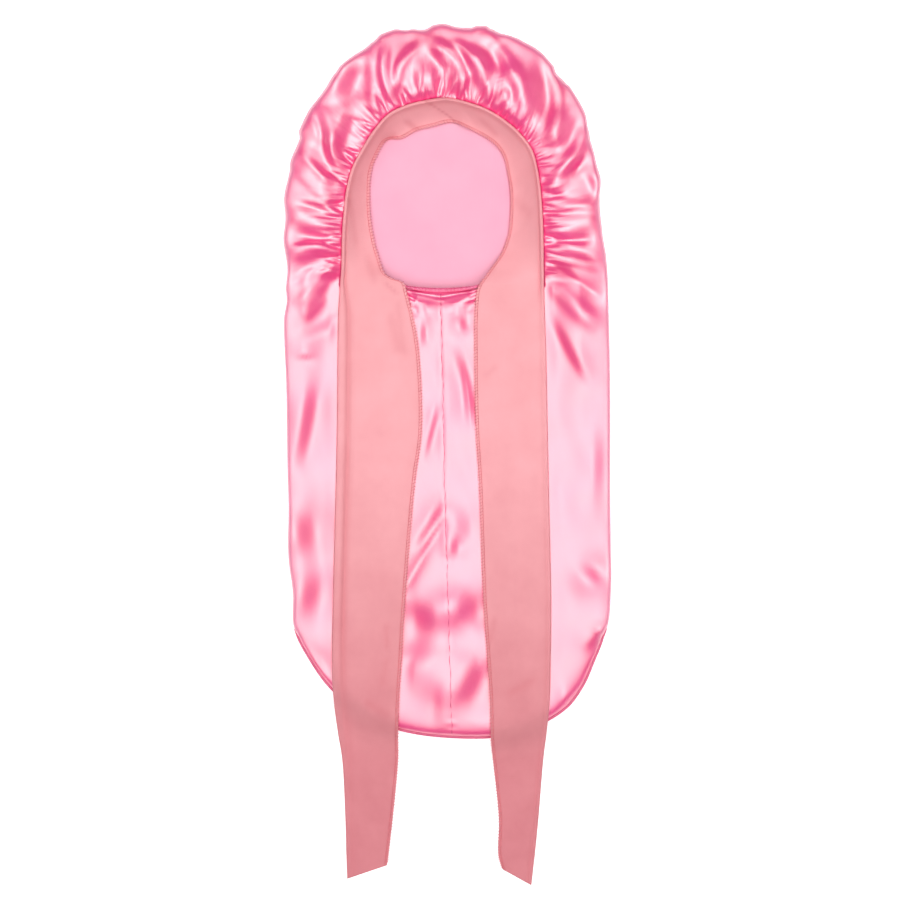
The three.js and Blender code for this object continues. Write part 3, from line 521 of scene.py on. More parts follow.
# level y, and how full the roll down to the outline is: 2 is a quarter ellipse, and more is fuller
FULLNESS = np.array([[-215, 4], [-165, 7], [60, 7], [230, 5.5]])
CENTRE_SEAM = np.array([
    [-6.5, 163], [-6.5, 147.5], [-4.5, 55.5], [-2.5, -44.5], [0.5, -144.5], [3.5, -244.5], [4.5, -279],
])
seam_line = curve_at(CENTRE_SEAM, np.linspace(0, 1, 60))


def ease_at(at, table):
    """Reads a two-column table, and goes from row to row with level ends."""
    row = np.clip(np.searchsorted(table[:, 0], at, side="right") - 1, 0, len(table) - 2)
    low, high = table[row], table[row + 1]
    return mix(low[..., 1], high[..., 1], smooth((at - low[..., 0]) / (high[..., 0] - low[..., 0])))


def outline_at(u):
    """The outline with its bumps, and its inward direction, on the right of a clockwise curve."""
    inwards = right_of(way_along(edge_points, u))
    bump = ease_at((u % 1) * len(SECTIONS), OUTLINE_BUMPS)
    return curve_at(edge_points, u, closed=True) - inwards * bump[:, None], inwards


rim_line = outline_at(np.linspace(0, 1, 801))[0]


def hem_inset(y):
    """Room for the hem outside the bag's own edge, at the sleeve's end, where the two overlap a little."""
    return (HEM_WIDTH - HEM_OVERLAP) * smooth((HEM_START_Y + 8 - y) / 14)


def satin_at_band(y, along):
    """Where the satin meets the strip's outer edge: under the roll's top round the face, and lower down
    beside the ties."""
    roll_top = np.interp(along, strip_run, strip_roll_top)
    return roll_top - 1.9 - 2.9 * (1 - smooth((y - CORNER_Y) / 18))


def centre_seam_height(plan):
    """A groove 0.2 mm deep, and puckers: a sine along the seam that fades 5 mm to each side."""
    distance, along, _ = nearest_on(seam_line, plan)
    groove = -0.2 * np.exp(-((distance / 0.9) ** 2))
    pucker = 0.3 * np.sin(along * 0.62 + 2 * np.sin(along * 0.071)) * np.exp(-((distance / 4.5) ** 2))
    shoulders = 0.12 * np.exp(-(((distance - 3.2) / 2.2) ** 2))
    return groove + pucker + shoulders


def slow_waves(plan, pitch, seed, stretch=(1, 1)):
    """Soft unevenness between about -1 and 1: five sines with seeded directions, pitches and phases."""
    draw = np.random.default_rng(seed)
    turn = draw.uniform(0, np.pi, 5)
    wave = 2 * np.pi / (pitch * draw.uniform(0.7, 1.5, 5))
    shift = draw.uniform(0, 2 * np.pi, 5)
    x, y = plan[:, :1] / stretch[0], plan[:, 1:2] / stretch[1]
    return np.sin((x * np.cos(turn) + y * np.sin(turn)) * wave + shift).sum(1) / 2.6


def front_height(plan):
    """Height of the front layer's outer face. Beside the band it goes from the seam's height up to the
    crest. Folds and tucks come on top, and a full rounded shoulder takes it down to the outline:
    1 minus (1 - p) to the power n, all to the power 1 / n, with p the share of the way inwards."""
    x, y = plan.T
    crest, roll, widest = (np.interp(y, LEVELS[:, 0], LEVELS[:, k]) for k in (1, 2, 3))
    distance, along, side = nearest_on(outer_line, plan)
    inner_distance, _, inner_side = nearest_on(inner_line, plan)
    edge_distance = np.clip(nearest_on(rim_line, plan)[0] - hem_inset(y), 0, None)
    at_seam = mix(SLEEVE_TOP, satin_at_band(y, along), smooth((y - CORNER_Y) / 14))
    outside = side > 0
    beside_tie = TIE_MARGIN * (1 - smooth((y - CORNER_Y) / 20))
    puff = smooth((distance - beside_tie) / PUFF_RUN)
    height = np.where(outside, mix(at_seam, crest, puff), SLEEVE_TOP)
    free = np.where(outside, distance, np.where(inner_side < 0, inner_distance, 0))
    under_strip = np.where(free > 0, 0, np.minimum(distance, inner_distance))
    clear = smooth(free / mix(CLEAR_SLEEVE, CLEAR_FACE, smooth((y - 60) / 80)))
    clear_below = smooth(1 - under_strip / CLEAR_UNDER)
    folds = fold_height(CROWN_FOLDS, CROWN_DEPTH, plan) + fold_height(SLEEVE_FOLDS, SLEEVE_DEPTH, plan)
    folds += step_height(plan) + dent_height(plan)
    height = height + folds * np.where(folds > 0, clear, clear_below)
    gathered = gather_height(TUCKS, TUCK_SPREAD, distance, along)
    gathered += gather_height(PLEATS, PLEAT_SPREAD, distance, along)
    gathered -= SEAM_DIP * np.exp(-distance / DIP_RUN)
    height += np.where(outside, gathered, 0) * smooth((y - CORNER_Y) / 30)
    height += centre_seam_height(plan) * smooth(inner_distance / 6) * (y < NAPE_Y - 4)
    height += WAVE_HEIGHT * slow_waves(plan, WAVE_PITCH, 5, (1, 2.0)) * clear
    part = np.clip(edge_distance / roll, 0, 1)
    full = np.interp(y, *FULLNESS.T)
    return mix(widest, height, (1 - (1 - part) ** full) ** (1 / full)), distance


# %% [markdown]
# ## The bag
# Each column of the surface starts at the seam round the opening and runs to the outline. There it rolls
# under, and it closes on the back layer's middle. A second skin one cloth's thickness further in makes
# the wall, and its back layer is the dull side that shows through the face opening.

# %% Columns of the bag
# x of the nape casing's lowest point, and half the length over which it sags
NAPE_X, NAPE_HALF = -7, 45
PATH_STEPS = 97


def nape_y(x):
    """The casing's sagging line."""
    return NAPE_Y - NAPE_SAG * (1 - np.minimum(((x - NAPE_X) / NAPE_HALF) ** 2, 1))


def seam_at(u):
    """The seam's points: half a millimetre inside the band's roll, and tucked into the casing below."""
    free = curve_at(seam_points, u, closed=True)
    _, along, _ = nearest_on(outer_line, free)
    seat = np.stack([np.interp(along, strip_run, outer_line[:, k]) for k in (0, 1)], 1)
    ahead = curve_at(outer_line, np.interp(along, strip_run, strip_at) + 1e-3)
    tucked = seat + 0.5 * right_of(unit(ahead - seat))
    under_casing = np.stack([free[:, 0], nape_y(free[:, 0]) - NAPE_WIDTH / 2 + 0.6], 1)
    on_band = smooth((free[:, 1] - CORNER_Y + 6) / 6)
    point = mix(under_casing, tucked, on_band[:, None])
    height = mix(SLEEVE_TOP - 1.4, satin_at_band(point[:, 1], along) - 0.4 - SEAM_DIP, on_band)
    return point, height


def column_paths(u):
    """Plan paths from the outline to the seam: cubic Bezier curves that leave both lines squarely."""
    edge, inwards = outline_at(u)
    edge = edge + inwards * hem_inset(edge[:, 1])[:, None]
    seam, seam_z = seam_at(u)
    outwards = -right_of(way_along(seam_points, u))
    reach = 0.3 * np.linalg.norm(edge - seam, axis=1, keepdims=True)
    t = np.linspace(0, 1, PATH_STEPS)[None, :, None]
    p0, p1, p2, p3 = (p[:, None] for p in (edge, edge + inwards * reach, seam + outwards * reach, seam))
    path = (1 - t) ** 3 * p0 + 3 * (1 - t) ** 2 * t * p1 + 3 * (1 - t) * t**2 * p2 + t**3 * p3
    return path, edge, inwards, seam_z


# %% Points of the bag's outer face
# rows of points along a column, and the widths of its fine bands at the outline and at the seam
EDGE_ROWS, MIDDLE_ROWS, SEAM_ROWS = 13, 82, 12
EDGE_BAND, SEAM_BAND = 19, 12
UNDER_TURN = np.radians([15, 30, 45, 60, 75, 90])
BACK_SHARE = np.array([0.1, 0.22, 0.36, 0.5, 0.64, 0.78, 0.9])
BACK_CENTRE = np.array([0, 20, 0])

columns = SECTIONS[:, 0].astype(int)
section_of = np.repeat(np.arange(len(SECTIONS)), columns)
inside_section = np.arange(columns.sum()) - np.repeat(np.cumsum(columns) - columns, columns)
column_u = (section_of + inside_section / columns[section_of]) / len(SECTIONS)

paths, edge, inwards, seam_z = column_paths(column_u)
path_run = np.cumsum(np.linalg.norm(np.diff(paths, axis=1, prepend=paths[:, :1]), axis=2), 1)
near_edge = EDGE_BAND * (np.arange(EDGE_ROWS) / EDGE_ROWS) ** 1.3
middle = np.arange(MIDDLE_ROWS) / MIDDLE_ROWS
near_seam = SEAM_BAND * np.linspace(0, 1, SEAM_ROWS)
whole = path_run[:, -1:]
way = np.concatenate([
    np.repeat(near_edge[None], len(paths), 0),
    EDGE_BAND + middle * (whole - EDGE_BAND - SEAM_BAND),
    whole - SEAM_BAND + near_seam,
], 1)
before = np.clip((path_run[:, None, :] <= way[:, :, None]).sum(2) - 1, 0, PATH_STEPS - 2)
column = np.arange(len(paths))[:, None]
part = (way - path_run[column, before]) / (path_run[column, before + 1] - path_run[column, before])
plan = mix(paths[column, before], paths[column, before + 1], np.clip(part, 0, 1)[..., None])
height, strip_distance = front_height(plan.reshape(-1, 2))
height = height.reshape(plan.shape[:2])
height[:, -1] = seam_z
height[:, -2] = np.minimum(height[:, -2], seam_z + 1.6)
front = np.dstack([plan, height])

under = np.interp(edge[:, 1], LEVELS[:, 0], LEVELS[:, 4])
rolled_plan = edge[:, None] + inwards[:, None] * (under[:, None] * (1 - np.cos(UNDER_TURN)))[..., None]
rolled = np.dstack([rolled_plan, height[:, :1] * (1 - np.sin(UNDER_TURN))])
back = mix(rolled[:, -1:], BACK_CENTRE, BACK_SHARE[None, :, None])
outer_face = np.concatenate([front[:, ::-1], rolled, back], 1)
print("bag grid", outer_face.shape)


# %% Join the two skins into one closed shell
def grid_normals(grid):
    """Normals of a grid that closes on itself along its first axis: the cross product of the steps
    along its two directions."""
    turn = np.roll(grid, -1, 0) - np.roll(grid, 1, 0)
    down = np.gradient(grid, axis=1)
    normal = np.cross(turn, down)
    normal /= np.maximum(np.linalg.norm(normal, axis=2, keepdims=True), 1e-9)
    # half way along the front layer the cloth faces up
    return normal if normal[0, FRONT_ROWS // 2, 2] > 0 else -normal


FRONT_ROWS = EDGE_ROWS + MIDDLE_ROWS + SEAM_ROWS
# how much lower the front's inner skin stays, and the back layer's waves
INNER_DROP, BACK_WAVE = 4.5, 0.35
INNER_FRONT = np.unique(np.round(np.linspace(0, FRONT_ROWS - 1, 16)).astype(int))
inner_rows = np.concatenate([INNER_FRONT, np.arange(FRONT_ROWS, outer_face.shape[1])])
inner_face = outer_face - SATIN_WALL * grid_normals(outer_face)
inner_face = inner_face[:, inner_rows]
# the front's inner skin is coarse, so it stays a little lower, clear of the creases' bottoms
from_seam = np.concatenate([[0, 0.5], np.ones(len(INNER_FRONT) - 2)])
front_inner = inner_face[:, :len(INNER_FRONT), 2]
front_inner -= INNER_DROP * from_seam * smooth((front_inner - 7) / 7)
back_rows = slice(len(INNER_FRONT) + len(UNDER_TURN) - 1, None)
back_plan = inner_face[:, back_rows, :2].reshape(-1, 2)
back_waves = BACK_WAVE * (1 + slow_waves(back_plan, 70, 11))
inner_face[:, back_rows, 2] = SATIN_WALL + back_waves.reshape(len(paths), -1)

count, outer_rows = outer_face.shape[:2]
inner_count = inner_face.shape[1]
inner_back_centre = BACK_CENTRE + [0, 0, SATIN_WALL + BACK_WAVE]
bag_points = np.concatenate([
    outer_face.reshape(-1, 3), [BACK_CENTRE], inner_face.reshape(-1, 3), [inner_back_centre],
])
outer_centre = count * outer_rows
inner_start = outer_centre + 1
inner_centre = inner_start + count * inner_count
# each column's number, and the next one's
here, after = np.arange(count), (np.arange(count) + 1) % count


def skin_faces(rows, start, centre):
    """Faces of a skin whose points are stored column by column, with a fan round its closing point."""
    left, right = (start + c * rows for c in (here, after))
    r, middle = np.arange(rows - 1), np.full(count, centre)
    quads = np.stack([left[:, None] + r, left[:, None] + r + 1, right[:, None] + r + 1, right[:, None] + r], -1)
    fan = np.stack([left + rows - 1, middle, middle, right + rows - 1], -1)
    return np.concatenate([quads.reshape(-1, 4), fan])


outer_quads = skin_faces(outer_rows, 0, outer_centre)
inner_quads = skin_faces(inner_count, inner_start, inner_centre)[:, ::-1]
rim_quads = np.stack([
    here * outer_rows, after * outer_rows, inner_start + after * inner_count, inner_start + here * inner_count,
], -1)
satin_bag = new_piece("satin_bonnet_bag", bag_points, np.concatenate([outer_quads, rim_quads, inner_quads]))
inner_side = np.zeros(len(satin_bag.data.polygons), np.int32)
inner_side[-len(inner_quads):] = 1

outline_run = np.interp(column_u, edge_at, lengths_along(edge_line))
outer_uv = np.stack(np.broadcast_arrays(outline_run[:, None], np.arange(outer_rows)[None] * 1.0), -1)
outer_uv[:, :FRONT_ROWS, 1] = way[:, ::-1]
outer_uv[:, FRONT_ROWS:, 1] = -np.linspace(1, 200, outer_rows - FRONT_ROWS)
centre_uv = [[0, -300]]
bag_uv = [outer_uv.reshape(-1, 2), centre_uv, outer_uv[:, inner_rows].reshape(-1, 2), centre_uv]
give_uv(satin_bag, np.concatenate(bag_uv) * MM)
# on the outer face: how hard the gathering pulls at the cloth, and how near the cloth is to the outline, which
# sets the painted paler rim
pull, near_outline = np.zeros((count, outer_rows)), np.ones((count, outer_rows))
pull_front = np.exp(-strip_distance.reshape(plan.shape[:2]) / 26) * smooth((plan[..., 1] - CORNER_Y) / 15)
pull[:, :FRONT_ROWS] = pull_front[:, ::-1]
near_outline[:, :FRONT_ROWS] = 1 - smooth((way[:, ::-1] - 2) / 5)
near_outline *= smooth((edge[:, 1:] + 210) / 40)
for name, grid in (("pull", pull), ("near_outline", near_outline)):
    values = np.zeros(len(bag_points))
    values[:outer_centre] = grid.ravel()
    give_value(satin_bag, name, values)

# %% [markdown]
# ## The knit strip
# One strip of doubled jersey makes the band and both ties. Its outer edge, where the satin is sewn in,
# stands up as a soft roll with a crease beside it. Round the face the sheet hangs down into the hollow
# crown, and below the corners it lies on the sleeve and drops over the hem to the table.


# %% Shape of the strip
def strip_column(k, at):
    """One column of the strip's table, smoothed along the strip."""
    values = np.stack([np.linspace(0, 1, len(STRIP)), STRIP[:, k]], 1)
    return curve_at(values, at)[..., 1]


strip_middle = (outer_line + inner_line) / 2
middle_run = lengths_along(strip_middle)
STRIP_LENGTH = middle_run[-1]


def tie_drop(plan):
    """How far a tie has come down from its height on the sleeve, from its distance inside the outline."""
    distance, _, side = nearest_on(edge_line, plan)
    inside = -side * distance
    return TIE_SEAT - np.interp(inside, TIE_DROP[:, 0], TIE_DROP[:, 1])


def knit_surface(run, q):
    """The strip's upper and lower face. run is the length along the strip and q the distance from the
    outer edge, or its share of the width where no value is above 1. The roll is a half ellipse, the
    sheet falls as (1 - s) to the power of its hollow, and the thickness is measured square to the
    slope. The edges are rounded over the last millimetre."""
    at = np.interp(run, middle_run, strip_at)
    outer, inner = curve_at(STRIP[:, 0:2], at), curve_at(STRIP[:, 2:4], at)
    across = inner - outer
    width = np.linalg.norm(across, axis=-1)
    across = across / width[..., None]
    q = q * width if q.max() <= 1 else q
    roll_top, inner_top, roll_width, rise, hollow = (strip_column(k, at) for k in (4, 5, 6, 7, 8))
    hollow = np.maximum(hollow, 1)
    begin = 0.8 * roll_width
    s = np.clip((q - begin) / (width - begin), 0, 1)
    drop = roll_top - rise - inner_top
    middle = inner_top - KNIT / 2 + drop * (1 - s) ** hollow
    slope = hollow * drop * (1 - s) ** (hollow - 1) / (width - begin)
    edge_round = np.sqrt(1 - (1 - np.clip((width - q) / 1.3, 0, 1)) ** 2)
    tip_round = np.sqrt(1 - (1 - np.clip(np.minimum(run, STRIP_LENGTH - run) / 1.3, 0, 1)) ** 2)
    half = KNIT / 2 * np.sqrt(1 + slope**2) * np.maximum(0.12, edge_round)
    t = np.clip(q / roll_width, 0, 1)
    arc = np.sqrt(np.clip(1 - (2 * t - 1) ** 2, 0, 1))
    roll = roll_top - (rise + KNIT / 2) * (1 - arc)
    roll_under = roll_top - rise - KNIT / 2 - KNIT / 2 * arc
    sheet = middle + half
    on_roll = q < begin
    past_roll = smooth((q - 0.5 * roll_width) / (0.5 * roll_width))
    down_roll = np.where(t > 0.5, mix(roll, sheet, past_roll), roll)
    upper = np.where(on_roll, np.maximum(roll, down_roll), np.maximum(sheet, roll * (q < roll_width)))
    beside = 0.7 * np.minimum(rise, 1.6) * np.exp(-(((q - roll_width) / (0.18 * roll_width + 0.3)) ** 2))
    lower = np.where(on_roll, roll_under, middle - half)
    upper = upper - beside
    level = (upper + lower) / 2
    upper, lower = (level + (z - level) * np.maximum(0.12, tip_round) for z in (upper, lower))
    plan = outer + across * q[..., None]
    lift = knit_waves(run, q / width, plan)
    fall = tie_drop(plan.reshape(-1, 2)).reshape(q.shape)
    floor = np.maximum(lower + lift - fall, 0.02)
    return plan, np.maximum(upper + lift - fall, floor + 0.2), floor


# joint of the strip's two ends over the forehead: where it starts at the outer edge, and its slant
JOINT_RUN = run_at([-22.5, 354], middle_run)
JOINT_SLANT = 27.0


def knit_waves(run, share, plan):
    """Small unevenness of the limp knit: long soft waves along the ties, a ruffle that grows towards the
    inner edge round the face, and a step where the strip's ends overlap over the forehead."""
    tie = smooth((CORNER_Y - 6 - plan[..., 1]) / 40)
    flat = plan.reshape(-1, 2)
    lengthwise = slow_waves(flat, 26, 3, (1, 5)).reshape(run.shape)
    waves = tie * (0.45 + 0.38 * lengthwise) * smooth(share * 5) * smooth((1 - share) * 14)
    ripples = 1.1 * np.sin(run / 7.3 + 1.7 * np.sin(run / 19)) + 0.6 * np.sin(run / 3.1 + 2)
    ruffle = (1 - tie) * share**2 * ripples
    step = run - (JOINT_RUN + JOINT_SLANT * share)
    overlap = 1.9 * smooth(step / 1.6) * (1 - smooth((step - 16) / 14))
    return waves + ruffle + overlap * smooth(share * 8) - knit_crease_depth(flat).reshape(run.shape)


# from x, y, to x, y, width, depth
KNIT_CREASES = np.array([
    [-58.5, 146, -48, 98, 5, 0.5], [-50, 158, -42, 92, 4, 0.45], [-64, 174, -48, 160, 2.2, 0.7],
    [-80, 205, -72, 168, 4, 0.4], [-62, -166, -60, -196, 3, 0.6], [-60, -200, -66, -232, 4, 0.5],
    [-84, -244, -56, -262, 4, 0.6], [35, 78, 51, 91, 4, 0.35], [48, -158, 42, -190, 3, 0.5],
    [90, -222, 58, -240, 4, 0.6], [-98, 262, -90, 205, 3.5, 0.5], [60, 262, 86, 238, 5, 0.35],
    [-44, 336, -24, 322, 3, 0.9], [-66, 312, -50, 322, 3, 0.9], [30, 338, 52, 318, 3, 0.6],
])


def knit_crease_depth(plan):
    """Depth of the soft creases: each goes as exp(-(distance / width) squared) from its own short line,
    thinner towards both ends."""
    depth = np.zeros(len(plan))
    for row in KNIT_CREASES:
        line = curve_at(row[:4].reshape(2, 2), np.linspace(0, 1, 5))
        width, deep = row[4:]
        near = np.flatnonzero((np.abs(plan - line.mean(0)) < 60).all(1))
        distance, along, _ = nearest_on(line, plan[near])
        part = along / lengths_along(line)[-1]
        depth[near] += deep * np.exp(-((distance / width) ** 2)) * faded(part, 4, 0.15)
    return depth


# %% Grid of the strip
LENGTH_STEPS, TOP_STEPS, UNDER_STEPS = 520, 34, 14
tip_steps = np.array([0, 0.2, 0.6])
run_steps = np.concatenate([
    tip_steps, np.linspace(1.3, STRIP_LENGTH - 1.3, LENGTH_STEPS - 6), STRIP_LENGTH - tip_steps[::-1],
])
share_top = np.concatenate([
    np.linspace(0, 1, 12) ** 1.2 * 0.16, np.linspace(0.185, 0.96, TOP_STEPS - 16), [0.975, 0.988, 0.996, 1],
])
share_under = 1 - np.linspace(0, 1, UNDER_STEPS + 2)[1:-1]
run_top, q_top = np.meshgrid(run_steps, share_top, indexing="ij")
run_under, q_under = np.meshgrid(run_steps, share_under, indexing="ij")
plan_top, upper, _ = knit_surface(run_top, q_top)
plan_under, _, lower = knit_surface(run_under, q_under)
ring = np.concatenate([np.dstack([plan_top, upper]), np.dstack([plan_under, lower])], 1)
sections, ring_size = ring.shape[:2]
body = tube_faces(sections, ring_size)


def cap_faces(start):
    """Closes an end: faces between the upper chain and the lower chain, which has fewer points."""
    below = np.interp(share_top, share_under[::-1], np.arange(UNDER_STEPS)[::-1])
    match = np.round(below).astype(int) + TOP_STEPS
    a = np.arange(TOP_STEPS - 1)
    return start + np.stack([a, a + 1, match[a + 1], match[a]], -1)


caps = np.concatenate([cap_faces(0)[:, ::-1], cap_faces((sections - 1) * ring_size)])
knit_strip = new_piece("knit_band_and_ties", ring.reshape(-1, 3), np.concatenate([body, caps]))
ring_run = np.cumsum(np.linalg.norm(np.diff(ring, axis=1, prepend=ring[:, :1]), axis=2), 1)
strip_uv = np.stack([np.repeat(run_steps[:, None], ring_size, 1), ring_run], -1)
give_uv(knit_strip, strip_uv.reshape(-1, 2) * MM)
# painted shade: the ties are painted darker towards their tips, for the light that falls off there
along_tie = smooth((60 - ring[..., 1]) / 420)
give_value(knit_strip, "toward_tip", along_tie.ravel())
# the bottoms of creases see less light than their sides: beside the roll, at the joint and in the creases
roll_width, roll_rise = (strip_column(k, np.interp(run_steps, middle_run, strip_at))[:, None] for k in (6, 7))
across_top = share_top * np.linalg.norm(plan_top[:, -1] - plan_top[:, 0], axis=1)[:, None]
shade = np.zeros((sections, ring_size))
from_roll = (across_top - roll_width) / (0.9 + 0.3 * roll_width)
beside_roll = 0.62 * np.minimum(roll_rise, 1.6) * np.exp(-(from_roll**2))
at_joint = 1.2 * np.exp(-(((run_top - JOINT_RUN - JOINT_SLANT * q_top + 0.6) / 1.3) ** 2))
in_crease = knit_crease_depth(plan_top.reshape(-1, 2)).reshape(run_top.shape)
shade[:, :TOP_STEPS] = beside_roll + at_joint + in_crease
give_value(knit_strip, "crease_shade", np.clip(shade, 0, 1.5).ravel())

# %% [markdown]
# ## Sewn edges
# The nape casing, the hem and the centre seam are narrow doubled edges. Each is a profile carried along
# a path: a flattened oval that swells and shrinks where the cloth is gathered on its thread or elastic.


# %% A narrow sewn edge along a path
def sewn_edge(name, line, sideways, width, thickness, ripple, sides=14):
    """Carries a flattened oval along the line. sideways is the plan direction across it, width is one
    number or one for each point, and ripple scales the oval's thickness from place to place."""
    width = np.broadcast_to(width, len(line))[:, None, None]
    angle = np.linspace(0, 2 * np.pi, sides, endpoint=False)
    flat = np.sign(np.cos(angle)) * np.abs(np.cos(angle)) ** 0.8
    across = sideways[:, None] * flat[None, :, None] * width / 2
    lift = np.sin(angle)[None] * thickness / 2 * ripple[:, None]
    grid = np.concatenate([line[:, None, :2] + across, (line[:, None, 2] + lift)[..., None]], 2)
    ends = grid[[0, -1]].mean(1)
    count = len(line)
    points = np.concatenate([grid.reshape(-1, 3), ends])
    side, centre, start = np.arange(sides), np.full(sides, count * sides), (count - 1) * sides
    beside = (side + 1) % sides
    first = np.stack([centre, centre, beside, side], -1)
    last = np.stack([centre + 1, centre + 1, start + side, start + beside], -1)
    return new_piece(name, points, np.concatenate([tube_faces(count, sides), first, last]))


# %% The gathered nape casing
NAPE_FROM, NAPE_TO, NAPE_HEIGHT, NAPE_THICKNESS = -54, 42, 15.5, 3.0
NAPE_STEPS, HEM_STEPS, SEAM_STEPS = 330, 300, 420
nape_x = np.linspace(NAPE_FROM, NAPE_TO, NAPE_STEPS)
gather = np.sin(nape_x * 2.1 + 1.3 * np.sin(nape_x * 0.37)) * 0.5 + np.sin(nape_x * 3.7 + 2) * 0.3
nape_middle = np.clip(1 - ((nape_x + 6) / 42) ** 2, 0, 1)
nape_width = NAPE_WIDTH * (0.45 + 0.7 * nape_middle)
nape_line = np.stack([
    nape_x,
    nape_y(nape_x) + 0.5 * (NAPE_WIDTH - nape_width) + 0.3 * gather,
    NAPE_HEIGHT + 0.2 * np.sin(nape_x * 0.4),
], 1)
nape_sideways = np.tile([0.0, 1.0], (NAPE_STEPS, 1))
nape_casing = sewn_edge(
    "nape_casing_gathered", nape_line, nape_sideways, nape_width, NAPE_THICKNESS, 0.88 + 0.2 * gather
)

# %% The hem that closes the sleeve
hem_u = np.linspace(12.8, 19.2, HEM_STEPS) / len(SECTIONS)
hem_edge, hem_inwards = outline_at(hem_u)
hem_run = lengths_along(hem_edge)
narrowing = 0.25 + 0.75 * smooth(hem_run / 16) * smooth((hem_run[-1] - hem_run) / 16)
hem_width = HEM_WIDTH * narrowing
hem_line = np.concatenate([hem_edge + hem_inwards * hem_width[:, None] / 2, np.full((HEM_STEPS, 1), 3.0)], 1)
hem_lip = sewn_edge(
    "sleeve_hem", hem_line, hem_inwards, hem_width, 3.0, (0.95 + 0.06 * np.sin(hem_run * 0.9)) * narrowing
)

# %% The folded edges that meet at the centre seam
seam_steps = curve_at(CENTRE_SEAM, np.linspace(0.01, 0.995, SEAM_STEPS))
seam_run = lengths_along(seam_steps)
seam_sideways = right_of(unit(np.gradient(seam_steps, axis=0)))
wander = 0.3 * np.sin(seam_run / 2.9 + 2 * np.sin(seam_run / 17)) + 0.25 * np.sin(seam_run / 9)
seam_steps = seam_steps + seam_sideways * wander[:, None]
seam_path = np.column_stack([seam_steps, front_height(seam_steps)[0] + 0.12])
swell = 0.8 + 0.35 * np.sin(seam_run / 1.7 + 3 * np.sin(seam_run / 23))
centre_seam = sewn_edge("sleeve_centre_seam", seam_path, seam_sideways, 0.75 * swell, 0.6, swell, 8)

# %% [markdown]
# ## Thread
# An overlock machine wraps the strip's raw inner edge in slanting loops, with a chain beside them. Each
# stitch is a short bent tube, and all of them are one mesh made from the same few points, laid along
# the strip's own surface so that the thread follows every wave of it.


# %% Tubes of thread
def thread_tubes(name, paths, radius, sides=5):
    """Makes one tube round each path. The ring round a point lies across the path's direction there."""
    count, steps = paths.shape[:2]
    way = unit(np.gradient(paths, axis=1))
    side = np.cross(way, [0.0, 0.0, 1.0])
    side /= np.maximum(np.linalg.norm(side, axis=2, keepdims=True), 1e-6)
    up = np.cross(side, way)
    angle = np.linspace(0, 2 * np.pi, sides, endpoint=False)[:, None]
    rings = paths[:, :, None] + radius * (np.cos(angle) * side[:, :, None] + np.sin(angle) * up[:, :, None])
    quads = tube_faces(steps, sides)
    side_ids = np.arange(sides)
    lid = np.stack([np.zeros(sides - 2, int), side_ids[1:-1], side_ids[1:-1], side_ids[2:]], -1)
    quads = np.concatenate([quads, lid[:, ::-1], lid + (steps - 1) * sides])
    everything = (np.arange(count)[:, None, None] * steps * sides + quads).reshape(-1, 4)
    return new_piece(name, rings.reshape(-1, 3), everything)


def on_strip(run, inset, lift):
    """Points over the strip: run along it, inset from its inner edge, and lift above it. Past the edge
    the thread goes on down beside it."""
    at = np.interp(run, middle_run, strip_at)
    width = np.linalg.norm(curve_at(STRIP[:, 2:4], at) - curve_at(STRIP[:, 0:2], at), axis=-1)
    plan, top, _ = knit_surface(run, np.maximum(width - inset, 1.001))
    return np.concatenate([plan, (top + lift)[..., None]], -1)


# %% Overlock along the inner edge
STITCH_PITCH = 3.1
# run, inset from the edge, lift
LOOP = np.array([
    [0, 2.6, 0.1], [0.45, 1.9, 0.32], [0.95, 0.9, 0.34],
    [1.35, -0.2, 0.2], [1.5, -1.1, -0.4], [1.5, -0.8, -1.2],
])
CHAIN = np.array([[-0.2, 2.7, 0.12], [0.7, 2.9, 0.34], [1.6, 2.8, 0.36], [2.4, 2.55, 0.3], [3.0, 2.7, 0.1]])
stitch_run = np.arange(4, STRIP_LENGTH - 4, STITCH_PITCH)[:, None]


def stitches(name, shape, radius):
    """One tube for each stitch, all of the same shape."""
    run, inset, lift = shape.T
    inset = np.repeat(inset[None], len(stitch_run), 0)
    return thread_tubes(name, on_strip(stitch_run + run, inset, lift), radius)


overlock_loops = stitches("overlock_loops", LOOP, 0.31)
overlock_chain = stitches("overlock_chain", CHAIN, 0.25)
print(len(stitch_run), "stitches, one every", STITCH_PITCH, "mm")

# %% [markdown]
# ## Materials
# Satin is smooth on one side: light that falls on it comes back as a broad pale sheen, and only where it
# slopes away does its strong pink show. The same cloth is dull on its inner side. The knit scatters
# light evenly. One shader group gives both of them their fine detail.

# %% Shader group: fine weave and slight unevenness of dye
cloth_detail = bpy.data.node_groups.new("cloth_detail", "ShaderNodeTree")
for socket, kind, direction in (
    ("Position", "Vector", "INPUT"), ("Thread Pitch", "Float", "INPUT"), ("Slub Length", "Float", "INPUT"),
    ("Height", "Float", "OUTPUT"), ("Tone", "Float", "OUTPUT"),
):
    cloth_detail.interface.new_socket(name=socket, in_out=direction, socket_type="NodeSocket" + kind)


def add_node(tree, kind, **settings):
    """Adds a node and sets its properties, or its inputs by name."""
    node = tree.nodes.new(kind)
    for key, value in settings.items():
        if key in node.inputs:
            node.inputs[key].default_value = value
        else:
            setattr(node, key, value)
    return node


def link(tree, *pairs):
    """Joins sockets, given as (from node, output, to node, input), each by its name or number."""
    for from_node, output, to_node, inlet in pairs:
        tree.links.new(from_node.outputs[output], to_node.inputs[inlet])


